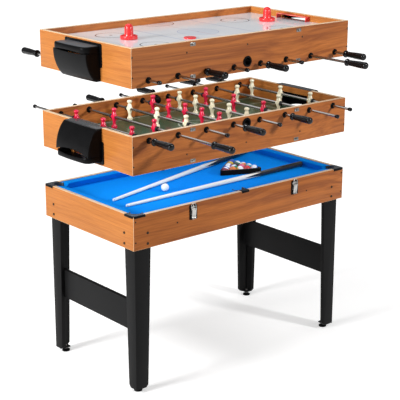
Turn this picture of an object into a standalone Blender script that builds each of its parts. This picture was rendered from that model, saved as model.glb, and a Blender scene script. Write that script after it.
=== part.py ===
"""Multi game table: a pool base on legs, with a foosball box and a hockey box lifted off above it.

Metres, +Z up. X runs along the table, and -Y is its front long side.
The origin is on the floor under the middle of the base.
The two boxes are one reversible design: the hockey box is the foosball box turned over about X.
"""
import math

import bmesh
import bpy
from mathutils import Matrix

# Driving sizes of the whole table
TABLE_LENGTH = 1.070
TABLE_WIDTH = 0.570
BASE_HEIGHT = 0.700
BOARD = 0.015
SEAT_GAP = 0.0003
RUN_GAP = 0.0006
OVERRUN = 0.020

# Pool base
APRON_HEIGHT = 0.130
BED_DEPTH = 0.027
BED_BOARD = 0.009
CUSHION_WIDTH = 0.030
CUSHION_DROP = 0.002
CUSHION_UNDERCUT = 0.006
POCKET_RADIUS = 0.0235
POCKET_WALL = 0.0025
POCKET_CUP_DEPTH = 0.024
POCKET_FLOOR = 0.002
CAP_ARM = 0.054
CAP_THICKNESS = 0.003
SIDE_LIP_LENGTH = 0.040
LEG_BOARD = 0.016
LEG_FRONT_TOP = 0.075
LEG_FRONT_FOOT = 0.056
LEG_SIDE_TOP = 0.062
LEG_SIDE_FOOT = 0.046
LEG_LAP = 0.067
LEG_CHAMFER = 0.010
FOOT_PLATE = 0.006
FOOT_PLATE_SIDE = 0.042
FOOT_INSET = 0.029
FOOT_DISC_RADIUS = 0.016
FOOT_DISC_HEIGHT = 0.006
FOOT_TAPER = 0.003
FOOT_STEM_RADIUS = 0.004
FOOT_NUT_RADIUS = 0.0075
FOOT_NUT_HEIGHT = 0.004
FOOT_STAND = 0.016
FOOT_STEM_RISE = 0.012
END_PANEL_HEIGHT = 0.116
END_PANEL_TOP = 0.355

# Latches on the long aprons
# Share of the table's length, from the middle
LATCH_SPREAD_SHARE = 0.242991
LATCH_DROP = 0.012
LATCH_PLATE_WIDTH = 0.032
LATCH_PLATE_HEIGHT = 0.050
LATCH_PLATE_THICKNESS = 0.0015
LATCH_EAR_THICKNESS = 0.002
LATCH_EAR_REACH = 0.0075
LATCH_EAR_HEIGHT = 0.010
LATCH_PIVOT_DROP = 0.010
LATCH_PIVOT_REACH = 0.0045
LATCH_PIN_RADIUS = 0.0012
LATCH_LEVER_WIDTH = 0.020
LATCH_LEVER_LENGTH = 0.034
LATCH_LEVER_THICKNESS = 0.002
LATCH_CURL = 0.005

# Cues, rack and balls, with their places as shares of the table's length and width
CUE_LENGTH_SHARE = 0.85421
CUE_TIP_RADIUS = 0.0055
CUE_BUTT_RADIUS = 0.0115
CUE_BUTT_TAPER = 0.004
CUE_JOINT_SHARE = 0.67
BACK_CUE_TIP_SHARES = (-0.39626, -0.01754)
BACK_CUE_BUTT_SHARE = 0.37852
FRONT_CUE_TIP_SHARES = (-0.40187, -0.17544)
FRONT_CUE_BUTT_SHARE = -0.16844
BALL_RADIUS = 0.0155
BALL_ROWS = 5
BALL_SQUASH = 0.0001
RACK_WALL = 0.003
RACK_HEIGHT = 0.022
RACK_SHARES = (0.21308, 0.03439)
RACK_TURN = -23.4
RACK_OUTER_BLUNT_SHARE = 0.10
RACK_INNER_BLUNT_SHARE = 0.07

# Reversible game box
BOX_HEIGHT = 0.141
FOOSBALL_LIFT = 0.149
HOCKEY_LIFT = 0.169
FIELD_DEPTH = 0.083
RINK_DEPTH = 0.027
DECK_BOARD = 0.005
DECK_BATTEN = 0.020
DECK_BATTENS = 7
ROD_DEPTH = 0.023
# Share of the table's length
ROD_SPACING_SHARE = 0.123364
ROD_RADIUS = 0.005
ROD_HOLE_CLEARANCE = 0.0005
ENTRY_RADIUS = 0.0155
FOOSBALL_ENTRY_DEPTH = 0.027
HOCKEY_ENTRY_DEPTH = 0.0375
GOAL_MOUTH_HALF_WIDTH = 0.082
GOAL_MOUTH_TOP = 0.026
PUCK_SLOT_HALF_WIDTH = 0.078
PUCK_SLOT_HEIGHT = 0.013

# Rods, men, handles and bumpers
MAN_HEAD_TOP = 0.035
MAN_FOOT = 0.045
MAN_HALF_WIDTH = 0.0105
MAN_HALF_DEPTH = 0.0078
# Share of the head's or of the foot's height, then shares of the half width and of the half depth
MAN_SHARES = (
    (1.0, 0.42, 0.52),
    (0.78, 0.74, 0.92),
    (0.54, 0.42, 0.56),
    (0.38, 1.0, 0.80),
    (-0.20, 0.85, 0.85),
    (-0.68, 0.50, 0.52),
    (-1.0, 0.66, 1.0),
)
BUMPER_RADIUS = 0.0095
BUMPER_LENGTH = 0.010
HANDLE_LENGTH = 0.104
HANDLE_RADIUS = 0.013
HANDLE_ROUNDING = 0.005
HANDLE_END_SHARE = 0.45
HANDLE_WAIST_SHARE = 0.87
COLLAR_RADIUS = 0.0125
COLLAR_LENGTH = 0.007
NECK_RADIUS = 0.0085
NECK_LENGTH = 0.006
CAP_RADIUS = 0.0078
CAP_LENGTH = 0.016
CAP_END_SHARE = 0.7
SHORT_ROD_OVERHANG = 0.205
LONG_ROD_OVERHANG = 0.286
# Number of men on a rod to: their spacing, as a share of the width between the long boards
MEN_SPACING_SHARES = {2: 0.46296, 3: 0.32407, 5: 0.18889}

# Rod number to: men, handle side (-1 front), men's place at rest as a share of the width inside,
# and the gap from the wall to the handle as a share of the rod's overhang
FOOSBALL_RODS = {
    1: (3, -1, -0.02037, 0.14146),
    2: (2, -1, -0.04074, 0.68531),
    3: (3, 1, 0.01111, 0.39024),
    4: (5, -1, -0.0037, 0.32195),
    5: (5, 1, -0.01667, 0.41463),
    6: (3, -1, 0.02037, 0.19512),
    7: (2, 1, 0.02593, 0.44056),
    8: (3, 1, 0.03148, 0.49756),
}
# The same rods in the hockey box, seen before it is turned over
HOCKEY_RODS = {
    1: (3, -1, -0.11111, 0.65854),
    2: (2, -1, -0.02222, 0.58392),
    3: (3, 1, -0.11852, 0.03415),
    4: (5, -1, -0.07593, 0.60488),
    5: (5, 1, -0.06852, 0.20488),
    6: (3, -1, -0.06852, 0.54634),
    7: (2, 1, 0.06481, 0.66434),
    8: (3, 1, -0.03148, 0.28293),
}

# Goal boxes
GOAL_FLANGE_HALF_WIDTH = 0.112
GOAL_FLANGE = 0.002
GOAL_HALF_WIDTH = 0.100
GOAL_WALL = 0.0025
GOAL_TOP_DROP = 0.001
GOAL_HEIGHT = 0.129
GOAL_REACH = 0.060
GOAL_TRAY_REACH = 0.072
GOAL_TRAY_LIP = 0.020
GOAL_SLOT = 0.022
GOAL_CHEEK = 0.016
# Share of the drop to the slot, and share of the hood's reach there
GOAL_HOOD_SHARES = ((0.0, 0.16), (0.2, 0.56), (0.55, 0.88), (1.0, 1.0))
# Place along the half width, and share of the full reach left there
GOAL_BOW_SHARES = ((-1.0, 0.74), (-0.72, 0.90), (-0.3, 0.99), (0.3, 0.99), (0.72, 0.90), (1.0, 0.74))

# Rink goals, pushers
RINK_GOAL_HALF_WIDTH = 0.086
RINK_GOAL_REACH = 0.024
RINK_GOAL_HEIGHT = 0.020
RINK_GOAL_WALL = 0.003
PUSHER_RADIUS = 0.031
PUSHER_BASE_HEIGHT = 0.013
PUSHER_EDGE = 0.003
PUSHER_KNOB_RADIUS = 0.0163
PUSHER_WAIST_RADIUS = 0.0135
PUSHER_HEIGHT = 0.057
PUSHER_CROWN_SHARE = 0.8
PUSHER_TOP_SHARE = 0.25
# Places as shares of the table's length and width
LEFT_PUSHER_SHARES = (-0.29346, 0.04035)
RIGHT_PUSHER_SHARES = (0.37570, 0.07368)

# Facets
ROUND_SIDES = 8
HOLE_SIDES = 8
ENTRY_SIDES = 12
POCKET_SIDES = 12
PUSHER_SIDES = 12
CUE_SIDES = 10
PIN_SIDES = 6
BALL_SIDES = 12
BALL_RINGS = 4
SMOOTH_ANGLE = math.radians(50)

# Places worked out from the driving sizes
HALF_LENGTH = TABLE_LENGTH / 2
HALF_WIDTH = TABLE_WIDTH / 2
INNER_LENGTH = HALF_LENGTH - BOARD
INNER_WIDTH = HALF_WIDTH - BOARD
BED_TOP = BASE_HEIGHT - BED_DEPTH
FOOSBALL_TOP = BASE_HEIGHT + FOOSBALL_LIFT + BOX_HEIGHT
HOCKEY_BOTTOM = FOOSBALL_TOP + HOCKEY_LIFT
POCKET_INSET = POCKET_RADIUS + POCKET_WALL + SEAT_GAP * 2
ROD_COUNT = len(FOOSBALL_RODS)
CUE_LENGTH = TABLE_LENGTH * CUE_LENGTH_SHARE
ROD_SPACING = TABLE_LENGTH * ROD_SPACING_SHARE
LATCH_SPREAD = TABLE_LENGTH * LATCH_SPREAD_SHARE

WOOD = ("wood_look", (0.50, 0.23, 0.08), 0.45, 0.0)
BLACK_BOARD = ("black_board", (0.03, 0.03, 0.03), 0.5, 0.0)
BLACK_PLASTIC = ("black_plastic", (0.02, 0.02, 0.022), 0.35, 0.0)
BLUE_CLOTH = ("blue_cloth", (0.01, 0.22, 0.75), 0.9, 0.0)
GREEN_FIELD = ("green_field", (0.03, 0.12, 0.06), 0.5, 0.0)
WHITE_RINK = ("white_rink", (0.80, 0.82, 0.86), 0.2, 0.0)
STEEL = ("steel", (0.45, 0.44, 0.43), 0.3, 1.0)
CHROME = ("chrome", (0.80, 0.80, 0.80), 0.12, 1.0)
RUBBER = ("rubber", (0.02, 0.02, 0.02), 0.8, 0.0)
WHITE_WOOD = ("white_wood", (0.85, 0.82, 0.74), 0.3, 0.0)
RED_PLASTIC = ("red_plastic", (0.75, 0.02, 0.02), 0.3, 0.0)


def on_table(shares):
    """A place given as shares of the table's length and width."""
    return (shares[0] * TABLE_LENGTH, shares[1] * TABLE_WIDTH)


def clear_scene():
    for item in list(bpy.data.objects):
        bpy.data.objects.remove(item, do_unlink=True)


def material(finish):
    """A finish is a name, a base colour, a roughness and a metallic value."""
    name, colour, roughness, metallic = finish
    made = bpy.data.materials.get(name) or bpy.data.materials.new(name)
    made.use_nodes = True
    shader = made.node_tree.nodes["Principled BSDF"]
    shader.inputs["Base Color"].default_value = (*colour, 1.0)
    shader.inputs["Roughness"].default_value = roughness
    shader.inputs["Metallic"].default_value = metallic
    return made


def solid(name, shape):
    """Turn a bmesh into an object with its faces pointing out."""
    bmesh.ops.recalc_face_normals(shape, faces=shape.faces)
    mesh = bpy.data.meshes.new(name)
    shape.to_mesh(mesh)
    shape.free()
    made = bpy.data.objects.new(name, mesh)
    bpy.context.scene.collection.objects.link(made)
    return made


def loft(name, rings):
    """Join rings of equally many points, and close the two ends."""
    shape = bmesh.new()
    rows = [[shape.verts.new(point) for point in ring] for ring in rings]
    count = len(rows[0])
    for low, high in zip(rows, rows[1:]):
        for i in range(count):
            j = (i + 1) % count
            shape.faces.new((low[i], low[j], high[j], high[i]))
    shape.faces.new(rows[0])
    shape.faces.new(list(reversed(rows[-1])))
    return solid(name, shape)


def block(name, low, high):
    (x0, y0, z0), (x1, y1, z1) = low, high
    plan = ((x0, y0), (x1, y0), (x1, y1), (x0, y1))
    return loft(name, [[(x, y, z) for x, y in plan] for z in (z0, z1)])


def place_on(axis, along, across, up):
    """Put a point given along an axis, and across it, into X, Y and Z."""
    return {"X": (along, across, up), "Y": (across, along, up), "Z": (across, up, along)}[axis]


def prism(name, outline, start, end, axis):
    """Push a flat outline along an axis."""
    return loft(name, [[place_on(axis, along, a, b) for a, b in outline] for along in (start, end)])


def circle(radius, sides, middle=(0.0, 0.0)):
    turn = 2 * math.pi / sides
    return [
        (middle[0] + radius * math.cos(turn * (i + 0.5)), middle[1] + radius * math.sin(turn * (i + 0.5)))
        for i in range(sides)
    ]


def turned(name, profile, sides, axis):
    """Turn a profile of (place along the axis, radius) about the axis."""
    rings = [[place_on(axis, along, a, b) for a, b in circle(radius, sides)] for along, radius in profile]
    return loft(name, rings)


def bake(target):
    """Keep the target's mesh as its modifiers leave it."""
    graph = bpy.context.evaluated_depsgraph_get()
    mesh = bpy.data.meshes.new_from_object(target.evaluated_get(graph))
    target.modifiers.clear()
    target.data = mesh


def combine(target, operation, tools):
    """Boolean each tool with the target, in turn, and remove the tool."""
    for tool in tools:
        cut = target.modifiers.new(operation.title(), "BOOLEAN")
        cut.operation = operation
        cut.solver = "EXACT"
        cut.object = tool
        bake(target)
        bpy.data.objects.remove(tool, do_unlink=True)
    return target


def joined(name, pieces):
    """Separate bodies in one mesh, to cut with in one go."""
    shape = bmesh.new()
    for piece in pieces:
        shape.from_mesh(piece.data)
        bpy.data.objects.remove(piece, do_unlink=True)
    return solid(name, shape)


def move_mesh(item, matrix):
    item.data.transform(matrix)
    item.data.update()
    return item


def finish(item, name, finish_values, parent=None, smooth=False):
    item.name = name
    item.data.name = name
    item.data.materials.clear()
    item.data.materials.append(material(finish_values))
    if smooth:
        item.data.shade_smooth()
        item.data.set_sharp_from_angle(angle=SMOOTH_ANGLE)
    if parent is not None:
        item.parent = parent
    return item


def holder(name, location, turn_about_x=0.0):
    """An empty that carries a sub-assembly."""
    empty = bpy.data.objects.new(name, None)
    empty.location = location
    empty.rotation_euler = (turn_about_x, 0.0, 0.0)
    bpy.context.scene.collection.objects.link(empty)
    return empty


# Pool base: aprons
def cap_recess(x_side, y_side):
    """The step in the aprons' top edges that a corner cap drops into."""
    low = (HALF_LENGTH - CAP_ARM - SEAT_GAP, HALF_WIDTH - CAP_ARM - SEAT_GAP, BASE_HEIGHT - CAP_THICKNESS)
    high = (HALF_LENGTH + OVERRUN, HALF_WIDTH + OVERRUN, BASE_HEIGHT + OVERRUN)
    xs = sorted((x_side * low[0], x_side * high[0]))
    ys = sorted((y_side * low[1], y_side * high[1]))
    return block("recess", (xs[0], ys[0], low[2]), (xs[1], ys[1], high[2]))


def side_lip_recess(y_side):
    half = SIDE_LIP_LENGTH / 2 + SEAT_GAP
    ys = sorted((y_side * (INNER_WIDTH - OVERRUN), y_side * (HALF_WIDTH + OVERRUN)))
    low = (-half, ys[0], BASE_HEIGHT - CAP_THICKNESS)
    return block("recess", low, (half, ys[1], BASE_HEIGHT + OVERRUN))


def latch_plate(x_place, y_side):
    half = LATCH_PLATE_WIDTH / 2
    ys = sorted(y_side * (HALF_WIDTH + step) for step in (-LATCH_PLATE_THICKNESS, LATCH_PLATE_THICKNESS))
    top = BASE_HEIGHT - LATCH_DROP
    return block("plate", (x_place - half, ys[0], top - LATCH_PLATE_HEIGHT), (x_place + half, ys[1], top))


def latch_pivot_height():
    return BASE_HEIGHT - LATCH_DROP - LATCH_PIVOT_DROP


def latch_ear(x_place, x_side, y_side):
    inner = x_place + x_side * (LATCH_LEVER_WIDTH / 2 + SEAT_GAP)
    xs = sorted((inner, inner + x_side * LATCH_EAR_THICKNESS))
    ys = sorted((y_side * (HALF_WIDTH - LATCH_PLATE_THICKNESS), y_side * (HALF_WIDTH + LATCH_EAR_REACH)))
    pivot = latch_pivot_height()
    half = LATCH_EAR_HEIGHT / 2
    return block("ear", (xs[0], ys[0], pivot - half), (xs[1], ys[1], pivot + half))


def latch_pin(x_place, y_side):
    """The pin between the two ears, which the lever turns on."""
    middle = (y_side * (HALF_WIDTH + LATCH_PIVOT_REACH), latch_pivot_height())
    half = LATCH_LEVER_WIDTH / 2 + SEAT_GAP + LATCH_EAR_THICKNESS / 2
    return prism("pin", circle(LATCH_PIN_RADIUS, PIN_SIDES, middle), x_place - half, x_place + half, "X")


def latch_base(x_place, y_side):
    """A latch's plate, two ears and pin, standing on the apron's face."""
    ears = [latch_ear(x_place, side, y_side) for side in (-1, 1)]
    return [latch_plate(x_place, y_side)] + ears + [latch_pin(x_place, y_side)]


def long_apron(name, y_side, parent):
    ys = sorted((y_side * INNER_WIDTH, y_side * HALF_WIDTH))
    low_z = BASE_HEIGHT - APRON_HEIGHT
    apron = block(name, (-HALF_LENGTH, ys[0], low_z), (HALF_LENGTH, ys[1], BASE_HEIGHT))
    recesses = [cap_recess(-1, y_side), cap_recess(1, y_side), side_lip_recess(y_side)]
    combine(apron, "DIFFERENCE", [joined("recesses", recesses)])
    for x_place in (-LATCH_SPREAD, LATCH_SPREAD):
        combine(apron, "UNION", latch_base(x_place, y_side))
    return finish(apron, name, WOOD, parent)


def end_apron(name, x_side, parent):
    xs = sorted((x_side * INNER_LENGTH, x_side * HALF_LENGTH))
    half = INNER_WIDTH - SEAT_GAP
    apron = block(name, (xs[0], -half, BASE_HEIGHT - APRON_HEIGHT), (xs[1], half, BASE_HEIGHT))
    combine(apron, "DIFFERENCE", [joined("recesses", [cap_recess(x_side, -1), cap_recess(x_side, 1)])])
    return finish(apron, name, WOOD, parent)


# Pool base: bed, pockets and cushions
def pocket_places():
    """The six pockets: four corners, then the two long sides."""
    x, y = INNER_LENGTH - POCKET_INSET, INNER_WIDTH - POCKET_INSET
    return [(-x, -y), (x, -y), (x, y), (-x, y), (0.0, -y), (0.0, y)]


def pocket_round(radius, low, high, place):
    return prism("pocket", circle(radius, POCKET_SIDES, place), low, high, "Z")


def pool_bed(parent):
    half_x, half_y = INNER_LENGTH - SEAT_GAP, INNER_WIDTH - SEAT_GAP
    under = BED_TOP - BED_BOARD
    floor = under - POCKET_CUP_DEPTH
    bed = block("bed", (-half_x, -half_y, under), (half_x, half_y, BED_TOP))
    outer = POCKET_RADIUS + POCKET_WALL
    lap = BED_BOARD / 2
    cups = [pocket_round(outer, floor, under + lap, place) for place in pocket_places()]
    combine(bed, "UNION", [joined("cups", cups)])
    wells = [
        pocket_round(POCKET_RADIUS, floor + POCKET_FLOOR, BED_TOP + OVERRUN, place)
        for place in pocket_places()
    ]
    combine(bed, "DIFFERENCE", [joined("wells", wells)])
    return finish(bed, "pool_bed", BLUE_CLOTH, parent, smooth=True)


def cushion_ring():
    """A ring of cushion, with a nose that overhangs the bed."""
    top = BASE_HEIGHT - CUSHION_DROP
    bottom = BED_TOP + SEAT_GAP
    out_x, out_y = INNER_LENGTH - SEAT_GAP, INNER_WIDTH - SEAT_GAP
    back = CUSHION_WIDTH - CUSHION_UNDERCUT
    levels = [(out_x, out_y, top), (out_x, out_y, bottom)]
    levels += [(INNER_LENGTH - back, INNER_WIDTH - back, bottom)]
    levels += [(INNER_LENGTH - CUSHION_WIDTH, INNER_WIDTH - CUSHION_WIDTH, top)]
    shape = bmesh.new()
    rows = []
    for x, y, z in levels:
        rows.append([shape.verts.new(point) for point in ((-x, -y, z), (x, -y, z), (x, y, z), (-x, y, z))])
    for i in range(len(rows)):
        low, high = rows[i], rows[(i + 1) % len(rows)]
        for j in range(4):
            k = (j + 1) % 4
            shape.faces.new((low[j], low[k], high[k], high[j]))
    return solid("cushions", shape)


def corner_cap(x_side, y_side):
    """A black plastic cap over the corner, with a curved inner edge along the pocket."""
    bottom, top = BASE_HEIGHT - CAP_THICKNESS + SEAT_GAP, BASE_HEIGHT
    start = BOARD + POCKET_INSET
    reach = POCKET_RADIUS - RUN_GAP
    arc = [
        (start + reach * math.cos(angle), start + reach * math.sin(angle))
        for angle in (math.radians(a) for a in (315, 270, 225, 180, 135))
    ]
    outline = [(0.0, 0.0), (CAP_ARM, 0.0), (CAP_ARM, BOARD)] + arc + [(BOARD, CAP_ARM), (0.0, CAP_ARM)]
    placed = [(x_side * (HALF_LENGTH - a), y_side * (HALF_WIDTH - b)) for a, b in outline]
    return prism("cap", placed, bottom, top, "Z")


def side_lip(y_side):
    half = SIDE_LIP_LENGTH / 2
    inner = INNER_WIDTH - POCKET_INSET
    ys = sorted((y_side * inner, y_side * HALF_WIDTH))
    bottom = BASE_HEIGHT - CAP_THICKNESS + SEAT_GAP
    return block("lip", (-half, ys[0], bottom), (half, ys[1], BASE_HEIGHT))


def pocket_mouth(place):
    """The way from the bed into a pocket, cut through the cushions and the collar."""
    half = POCKET_RADIUS * math.cos(math.pi / POCKET_SIDES)
    low, high = BED_TOP - OVERRUN, BASE_HEIGHT + OVERRUN
    mouth = block("mouth", (0.0, -half, low), (POCKET_INSET * 2, half, high))
    if place[0] == 0.0:
        heading = math.atan2(-place[1], 0.0)
    else:
        heading = math.atan2(math.copysign(1, -place[1]), math.copysign(1, -place[0]))
    turn = Matrix.Translation((*place, 0.0)) @ Matrix.Rotation(heading, 4, "Z")
    return move_mesh(mouth, turn)


def cushion_frame(parent):
    frame = cushion_ring()
    collar_top = BASE_HEIGHT - CAP_THICKNESS / 2
    for place in pocket_places():
        collar = pocket_round(POCKET_RADIUS + POCKET_WALL, BED_TOP + SEAT_GAP * 2, collar_top, place)
        combine(frame, "UNION", [collar])
    caps = [corner_cap(x, y) for x, y in ((-1, -1), (1, -1), (1, 1), (-1, 1))]
    combine(frame, "UNION", caps + [side_lip(-1), side_lip(1)])
    for place in pocket_places():
        well = pocket_round(POCKET_RADIUS, BED_TOP - OVERRUN, BASE_HEIGHT + OVERRUN, place)
        combine(frame, "DIFFERENCE", [well, pocket_mouth(place)])
    return finish(frame, "cushion_frame", BLUE_CLOTH, parent)


# Pool base: legs, end panels and feet
def leg_outline(front, side, x_side, y_side):
    """An L of two boards, from its outer corner inwards."""
    start_x = INNER_LENGTH - SEAT_GAP
    start_y = INNER_WIDTH - SEAT_GAP
    ell = [(0.0, 0.0), (front, 0.0), (front, LEG_BOARD), (LEG_BOARD, LEG_BOARD), (LEG_BOARD, side), (0.0, side)]
    return [(x_side * (start_x - a), y_side * (start_y - b)) for a, b in ell]


def foot_place(x_side, y_side):
    return x_side * (INNER_LENGTH - FOOT_INSET), y_side * (INNER_WIDTH - FOOT_INSET)


def leg(name, x_side, y_side, parent):
    top = BASE_HEIGHT - APRON_HEIGHT + LEG_LAP
    low = FOOT_STAND
    levels = (
        (top, LEG_FRONT_TOP, LEG_SIDE_TOP),
        (low + LEG_CHAMFER, LEG_FRONT_FOOT, LEG_SIDE_FOOT),
        (low, LEG_FRONT_FOOT - LEG_CHAMFER, LEG_SIDE_FOOT - LEG_CHAMFER),
    )
    rings = [
        [(x, y, z) for x, y in leg_outline(front, side, x_side, y_side)] for z, front, side in levels
    ]
    made = loft(name, rings)
    out = LEG_BOARD / 2
    xs = sorted(x_side * (INNER_LENGTH - a) for a in (out, FOOT_PLATE_SIDE))
    ys = sorted(y_side * (INNER_WIDTH - b) for b in (out, FOOT_PLATE_SIDE))
    plate = block("plate", (xs[0], ys[0], low), (xs[1], ys[1], low + FOOT_PLATE))
    hole_radius = FOOT_STEM_RADIUS + RUN_GAP
    hole = prism(
        "hole",
        circle(hole_radius, HOLE_SIDES, foot_place(x_side, y_side)),
        low - OVERRUN,
        low + FOOT_PLATE + OVERRUN / 2,
        "Z",
    )
    combine(made, "UNION", [plate])
    combine(made, "DIFFERENCE", [hole])
    return finish(made, name, BLACK_BOARD, parent)


def foot(name, x_side, y_side, parent):
    """A levelling foot: a disc, a nut that the leg stands on, and a stud in the leg's plate."""
    nut_top = FOOT_STAND - SEAT_GAP
    nut_low = nut_top - FOOT_NUT_HEIGHT
    profile = (
        (0.0, FOOT_DISC_RADIUS),
        (FOOT_DISC_HEIGHT, FOOT_DISC_RADIUS),
        (FOOT_DISC_HEIGHT + FOOT_TAPER, FOOT_STEM_RADIUS),
        (nut_low, FOOT_STEM_RADIUS),
        (nut_low, FOOT_NUT_RADIUS),
        (nut_top, FOOT_NUT_RADIUS),
        (nut_top, FOOT_STEM_RADIUS),
        (nut_top + FOOT_STEM_RISE, FOOT_STEM_RADIUS),
    )
    made = turned(name, profile, HOLE_SIDES, "Z")
    made.location = (*foot_place(x_side, y_side), 0.0)
    return finish(made, name, BLACK_PLASTIC, parent, smooth=True)


def leg_end_panel(name, x_side, parent):
    inset = LEG_BOARD + SEAT_GAP * 2
    xs = sorted((x_side * (INNER_LENGTH - inset), x_side * (INNER_LENGTH - inset - LEG_BOARD)))
    half = INNER_WIDTH - inset
    low = (xs[0], -half, END_PANEL_TOP - END_PANEL_HEIGHT)
    return finish(block(name, low, (xs[1], half, END_PANEL_TOP)), name, BLACK_BOARD, parent)


def latch_lever(name, x_place, y_side, parent):
    """A lever that hangs from its barrel, with its free end curled outwards."""
    half = LATCH_LEVER_WIDTH / 2
    barrel = LATCH_PIVOT_REACH - LATCH_PLATE_THICKNESS - SEAT_GAP
    front = LATCH_LEVER_THICKNESS - barrel
    end = -LATCH_LEVER_LENGTH
    quarter = math.radians(45)
    outline = [(barrel * math.cos(quarter * i), barrel * math.sin(quarter * i)) for i in range(-1, 5)]
    outline += [
        (-barrel, end),
        (front + LATCH_CURL, end - LATCH_CURL),
        (front + LATCH_CURL + LATCH_LEVER_THICKNESS, end - LATCH_CURL / 2),
        (front, end + LATCH_CURL / 2),
        (front, -barrel),
    ]
    made = prism(name, [(y_side * a, b) for a, b in outline], -half, half, "X")
    bore = prism("bore", circle(LATCH_PIN_RADIUS + RUN_GAP, PIN_SIDES), -half - OVERRUN, half + OVERRUN, "X")
    combine(made, "DIFFERENCE", [bore])
    made.location = (x_place, y_side * (HALF_WIDTH + LATCH_PIVOT_REACH), latch_pivot_height())
    return finish(made, name, CHROME, parent)


# Cues, rack and balls
def cue(name, tip, butt_share, parent):
    """A cue that lies on the cloth, thin end first, with its butt at a share of the table's width."""
    turn = math.asin((butt_share * TABLE_WIDTH - tip[1]) / CUE_LENGTH)
    joint = CUE_LENGTH * CUE_JOINT_SHARE
    joint_radius = CUE_TIP_RADIUS + (CUE_BUTT_RADIUS - CUE_TIP_RADIUS) * CUE_JOINT_SHARE
    profile = (
        (0.0, CUE_TIP_RADIUS - RUN_GAP),
        (CUE_TIP_RADIUS, CUE_TIP_RADIUS),
        (joint, joint_radius),
        (CUE_LENGTH - CUE_BUTT_TAPER, CUE_BUTT_RADIUS),
        (CUE_LENGTH, CUE_BUTT_RADIUS - CUE_BUTT_TAPER),
    )
    made = turned(name, profile, CUE_SIDES, "X")
    rise = math.atan2(CUE_BUTT_RADIUS - CUE_TIP_RADIUS, CUE_LENGTH - CUE_TIP_RADIUS - CUE_BUTT_TAPER)
    height = BED_TOP + SEAT_GAP + CUE_TIP_RADIUS
    made.location = (tip[0], tip[1], height)
    made.rotation_euler = (0.0, -rise, turn)
    return finish(made, name, WHITE_WOOD, parent, smooth=True)


def ball_rows():
    """Ball places in rows, about the middle of the triangle."""
    pitch = 2 * BALL_RADIUS
    row_step = pitch * math.sin(math.radians(60))
    places = []
    for row in range(BALL_ROWS):
        for i in range(BALL_ROWS - row):
            x = (i - (BALL_ROWS - 1 - row) / 2) * pitch
            y = (row - (BALL_ROWS - 1) / 3) * row_step
            places.append((x, y))
    return places


def triangle(inradius):
    """Corners of an upright triangle with this radius to its sides."""
    reach = 2 * inradius
    return [
        (reach * math.cos(math.radians(a)), reach * math.sin(math.radians(a))) for a in (90, 210, 330)
    ]


def blunted(corners, cut_share):
    """Cut each corner off, at a share of the side."""
    points = []
    for i, corner in enumerate(corners):
        before, after = corners[i - 1], corners[(i + 1) % len(corners)]
        for other in (before, after):
            points.append(tuple(c + (o - c) * cut_share for c, o in zip(corner, other)))
    return points


def ball():
    """A ball whose corners just reach into its neighbours, so that the rack is one solid."""
    radius = BALL_RADIUS + BALL_SQUASH
    step = 2 * math.pi / BALL_SIDES
    rings = []
    for i in range(1, BALL_RINGS):
        angle = math.pi * i / BALL_RINGS
        reach, z = radius * math.sin(angle), -radius * math.cos(angle)
        rings.append([(reach * math.cos(step * j), reach * math.sin(step * j), z) for j in range(BALL_SIDES)])
    return loft("ball", rings)


def ball_rack(parent):
    row_step = 2 * BALL_RADIUS * math.sin(math.radians(60))
    inner = BALL_RADIUS + row_step * (BALL_ROWS - 1) / 3
    outline = blunted(triangle(inner + RACK_WALL), RACK_OUTER_BLUNT_SHARE)
    rack = prism("rack", outline, 0.0, RACK_HEIGHT, "Z")
    well = prism("well", blunted(triangle(inner), RACK_INNER_BLUNT_SHARE), -OVERRUN, RACK_HEIGHT + OVERRUN, "Z")
    combine(rack, "DIFFERENCE", [well])
    for x, y in ball_rows():
        combine(rack, "UNION", [move_mesh(ball(), Matrix.Translation((x, y, BALL_RADIUS)))])
    rack.location = (*on_table(RACK_SHARES), BED_TOP + SEAT_GAP + BALL_SQUASH)
    rack.rotation_euler = (0.0, 0.0, math.radians(RACK_TURN))
    return finish(rack, "ball_rack", BLACK_PLASTIC, parent)


# Game box: boards, deck and openings. Z = 0 is the foosball side's rim, and the rink is below.
def rod_x(number):
    return (number - (ROD_COUNT + 1) / 2) * ROD_SPACING


def rod_hole_radius():
    return (ROD_RADIUS + ROD_HOLE_CLEARANCE) / math.cos(math.pi / HOLE_SIDES)


def long_board_holes(entry_depth):
    """Holes for the eight rods and the ball entry, through both long boards."""
    holes = []
    for number in FOOSBALL_RODS:
        outline = circle(rod_hole_radius(), HOLE_SIDES, (rod_x(number), -ROD_DEPTH))
        holes.append(prism("hole", outline, -HALF_WIDTH - OVERRUN, HALF_WIDTH + OVERRUN, "Y"))
    outline = circle(ENTRY_RADIUS, ENTRY_SIDES, (0.0, -entry_depth))
    holes.append(prism("entry", outline, -HALF_WIDTH - OVERRUN, HALF_WIDTH + OVERRUN, "Y"))
    return joined("holes", holes)


def end_openings():
    """The goal mouth of the foosball side and the puck slot of the rink, through both end boards."""
    rink_top = -(BOX_HEIGHT - RINK_DEPTH)
    openings = []
    mouth = GOAL_MOUTH_HALF_WIDTH
    slot = PUCK_SLOT_HALF_WIDTH
    for x_side in (-1, 1):
        xs = sorted((x_side * (INNER_LENGTH - OVERRUN / 2), x_side * (HALF_LENGTH + OVERRUN)))
        openings.append(block("mouth", (xs[0], -mouth, -FIELD_DEPTH), (xs[1], mouth, -GOAL_MOUTH_TOP)))
        openings.append(block("slot", (xs[0], -slot, rink_top - PUCK_SLOT_HEIGHT), (xs[1], slot, rink_top)))
    return joined("openings", openings)


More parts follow.
